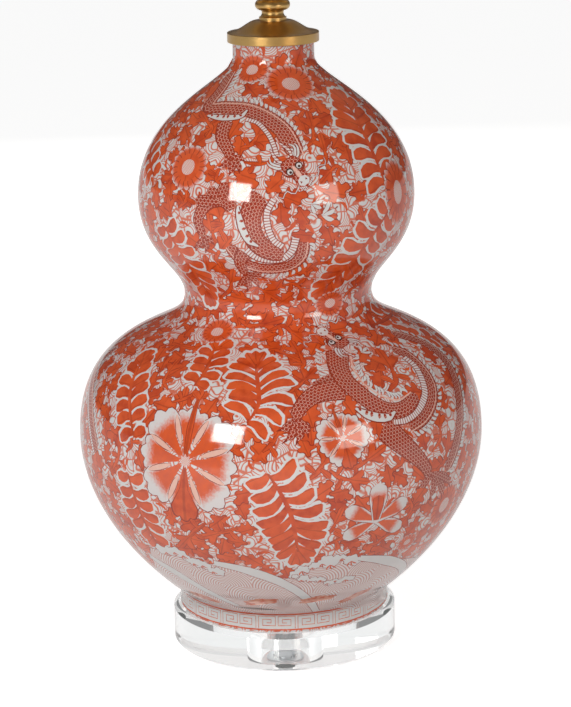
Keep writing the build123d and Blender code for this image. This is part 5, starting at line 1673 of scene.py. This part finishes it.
dress(zinc, "switch_stem")
knob_finish = finish_named("knob_black")
knob_tone = knob_finish.blend(knob_finish.noise(120), tint(22, 21, 21), tint(34, 32, 31))
knob_finish.body(Base_Color=knob_tone, Roughness=knob_finish.noise(400) * 0.1 + 0.2)
dress(knob_finish.owner, "switch_knob")
KNOB_RADIUS, KNOB_COLLAR = 5.6, 4.0
knob_low, knob_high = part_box("switch_knob")
knob_level = (knob_low.z + knob_high.z) / 2 / MM
beads("knob_ribs", "switch", knob_finish.owner, 26, KNOB_RADIUS, (0.35, 1.6, 0.3),
      (0, knob_high.y / MM - KNOB_COLLAR / 2, knob_level), (math.pi / 2, 0.0, 0.0))

# ---- wiring and inlet -------------------------------------------------------------------------
# An ivory-jacketed lead from the moulded bushing at the back of the body up through the tube, its
# two insulated wires ending at the terminals.


def plastic(name, light, dark, roughness):
    """A smooth insulation with a faint change of tone."""
    finish = finish_named(name)
    return finish.body(Base_Color=finish.blend(finish.noise(140), light, dark),
                       Roughness=finish.noise(600) * 0.08 + roughness)


dress(moulded.owner, "cord_bushing", "bushing_nut")
dress(plastic("lead_jacket", tint(222, 218, 206), tint(204, 198, 184), 0.24), "supply_lead")
dress(plastic("black_insulation", tint(34, 33, 33), tint(22, 22, 22), 0.3), "live_wire")
dress(plastic("white_insulation", tint(232, 231, 226), tint(216, 214, 206), 0.3), "neutral_wire")

# ---- harp -------------------------------------------------------------------------------------
# A wire loop bent from brass-plated steel on a stamped saddle, which a zinc-plated nut clamps. A
# ferrule over each tongue locks it, and the stud riveted through its eye takes shade and finial.

plate = metal("brass_plate", tint(214, 182, 118), tint(190, 154, 92), 0.22, (1600, 1600, 240), 0.06)
dress(zinc, "saddle_nut")
dress(plate, "harp_saddle", "harp", "harp_stud", "harp_sleeve_left", "harp_sleeve_right", "shade_hub",
      "shade_frame", "shade_bottom_ring")
for side, rider in (("left", "sleeve_left"), ("right", "sleeve_right")):
    low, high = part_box("harp_sleeve_" + side)
    across, sleeve_out = (low.x + high.x) / 2 / MM, (high.x - low.x) / 2 / MM
    for number, level in enumerate((low.z / MM + 3.0, high.z / MM - 3.0)):
        beads(f"sleeve_{side}_grip_{number}", rider, plate, 28, sleeve_out, (0.22, 0.9, 0.26),
              (across, 0, level))

# ---- shade ------------------------------------------------------------------------------------
# Natural linen laminated to a white styrene cone, lapped and glued down the back. Folded linen tape
# is rolled over both edges and their wires, and sewn down.

SHADE_BOTTOM, SHADE_TOP = 203.2, 165.1
FABRIC, LINER, SHEET_GAP, SHADE_WIRE = 0.8, 0.7, 0.1, 1.6
TRIM_OUTSIDE, TRIM_INSIDE, TRIM_THICKNESS = 12.0, 8.0, 0.8
LAP_WIDTH, LAP_RISE = 11.0, 0.45
_, shade_low, shade_high = extent("shade_fabric")
shade_tall = shade_high - shade_low


def shade_radius(level):
    """The outside radius of the linen at a level, in mm."""
    return SHADE_BOTTOM + (SHADE_TOP - SHADE_BOTTOM) * (level - shade_low) / shade_tall


def linen(name, warm, cool, threads, strength):
    """Plain-woven linen with slubs: threads per metre round and up the shade."""
    finish = finish_named(name)
    x, y, z = finish.parts(finish.points())
    turn = x.math("ARCTAN2", y * -1) * 0.185
    sway = finish.noise(30, 2) * 0.0016
    warp = ((turn + sway) * (threads * math.tau)).math("SINE")
    weft = ((z + sway) * (threads * math.tau)).math("SINE")
    run_round = finish.add("ShaderNodeCombineXYZ", None, {"X": turn * 40, "Y": z * 1500})
    slub_round = finish.noise(1, 3, vector=run_round)
    run_up = finish.add("ShaderNodeCombineXYZ", None, {"X": turn * 1500, "Y": z * 40})
    slub_up = finish.noise(1, 3, vector=run_up)
    slubs = slub_round.step(0.5, 0.78) + slub_up.step(0.52, 0.8)
    height = warp * weft * 0.3 + slubs * 0.8
    tone = slubs * 0.3 + finish.noise(700, 2) * 0.35 + (warp * weft) * 0.12
    return finish.body(Base_Color=finish.blend(tone, warm, cool), Roughness=0.92, Sheen_Weight=0.25,
                       Normal=finish.bump(height, strength, 0.0005))


linen_finish = linen("natural_linen", tint(230, 225, 214), tint(204, 197, 182), 900, 0.5)
tape_finish = linen("linen_tape", tint(224, 218, 205), tint(198, 190, 173), 1100, 0.5)


def lapped(angle, radius, height):
    """Raises the outside where the cloth laps over its own edge, down the back."""
    away = (angle - math.pi) * radius
    rise = np.clip(1 - (np.abs(away) - LAP_WIDTH / 2) / 0.8, 0, 1)
    outer = radius > shade_radius(height) - FABRIC / 2
    return radius + LAP_RISE * rise * outer, height


levels = np.linspace(shade_low, shade_high, 40)
cloth = turned("linen_drum", [(shade_radius(z), z) for z in levels]
               + [(shade_radius(z) - FABRIC, z) for z in levels[::-1]], 360, linen_finish, "shade",
               ("shade_fabric",), lapped)
styrene = finish_named("white_styrene")
dress(styrene.body(Base_Color=styrene.blend(styrene.noise(40), tint(236, 234, 227), tint(226, 222, 212)),
                   Roughness=styrene.noise(900) * 0.1 + 0.5), "shade_liner")

ARM_NOTCH = math.radians(1.2)
ARM_ANGLES = np.radians((180, 300, 60))


def tape_section(edge, inward):
    """The rolled tape round one edge: outside flap, a round over the wire, inside flap."""
    outer = shade_radius(edge) + SHEET_GAP
    inner = shade_radius(edge) - FABRIC - LINER - 2 * SHADE_WIRE - 5 * SHEET_GAP
    face, back = [], []
    for share in np.linspace(1, 0.08, 8):
        level = edge + inward * TRIM_OUTSIDE * share
        face.append((shade_radius(level) + SHEET_GAP + TRIM_THICKNESS, level))
        back.append((shade_radius(level) + SHEET_GAP, level))
    middle, half = (outer + inner) / 2, (outer - inner) / 2
    for t in np.linspace(0, math.pi, 15):
        face.append((middle + (half + TRIM_THICKNESS) * math.cos(t),
                     edge - inward * TRIM_THICKNESS * math.sin(t)))
        back.append((middle + half * math.cos(t), edge - inward * 0.02 * math.sin(t)))
    for share in np.linspace(0.12, 1, 6):
        level = edge + inward * TRIM_INSIDE * share
        slope_shift = shade_radius(level) - shade_radius(edge)
        face.append((inner - TRIM_THICKNESS + slope_shift, level))
        back.append((inner + slope_shift, level))
    return face + back[::-1]


def notched(angle, radius, height):
    """Draws the inside flap of the top tape up to the edge where an arm comes through it."""
    inside_flap = radius < shade_radius(shade_high) - FABRIC - LINER - 2 * SHADE_WIRE
    away = np.abs((angle - ARM_ANGLES + math.pi) % math.tau - math.pi)
    near_arm = (away < ARM_NOTCH).any(1, keepdims=True)
    raised = np.where(inside_flap & near_arm, np.maximum(height, shade_high - 0.3), height)
    return radius, raised


for name, edge, inward, node, ripple in (("tape_bottom", shade_low, 1, "shade_trim_bottom", None),
                                         ("tape_top", shade_high, -1, "shade_trim_top", notched)):
    turned(name, tape_section(edge, inward), 300, tape_finish, "shade", (node,), ripple)

thread_finish = finish_named("sewing_thread")
thread_tone = thread_finish.blend(thread_finish.noise(3000), tint(238, 233, 222), tint(210, 203, 188))
thread_finish.body(Base_Color=thread_tone, Roughness=0.8)
STITCH_LENGTH, STITCH_PITCH, STITCH_INSET = 1.25, 3.4, 1.6
for name, level in (("stitches_bottom", shade_low + TRIM_OUTSIDE - STITCH_INSET),
                    ("stitches_top", shade_high - TRIM_OUTSIDE + STITCH_INSET)):
    round_radius = shade_radius(level) + SHEET_GAP + TRIM_THICKNESS
    count = int(math.tau * round_radius / STITCH_PITCH)
    beads(name, "shade", thread_finish.owner, count, round_radius,
                       (0.22, 0.3, STITCH_LENGTH), (0, 0, level))

# ---- finial -----------------------------------------------------------------------------------
# A clear acrylic ball on a turned brass base, with a threaded brass bush inside. It screws down on
# the harp's stud and holds the shade.

dress(brass.owner, "finial_base", "finial_insert")
dress(acrylic, "finial_ball")
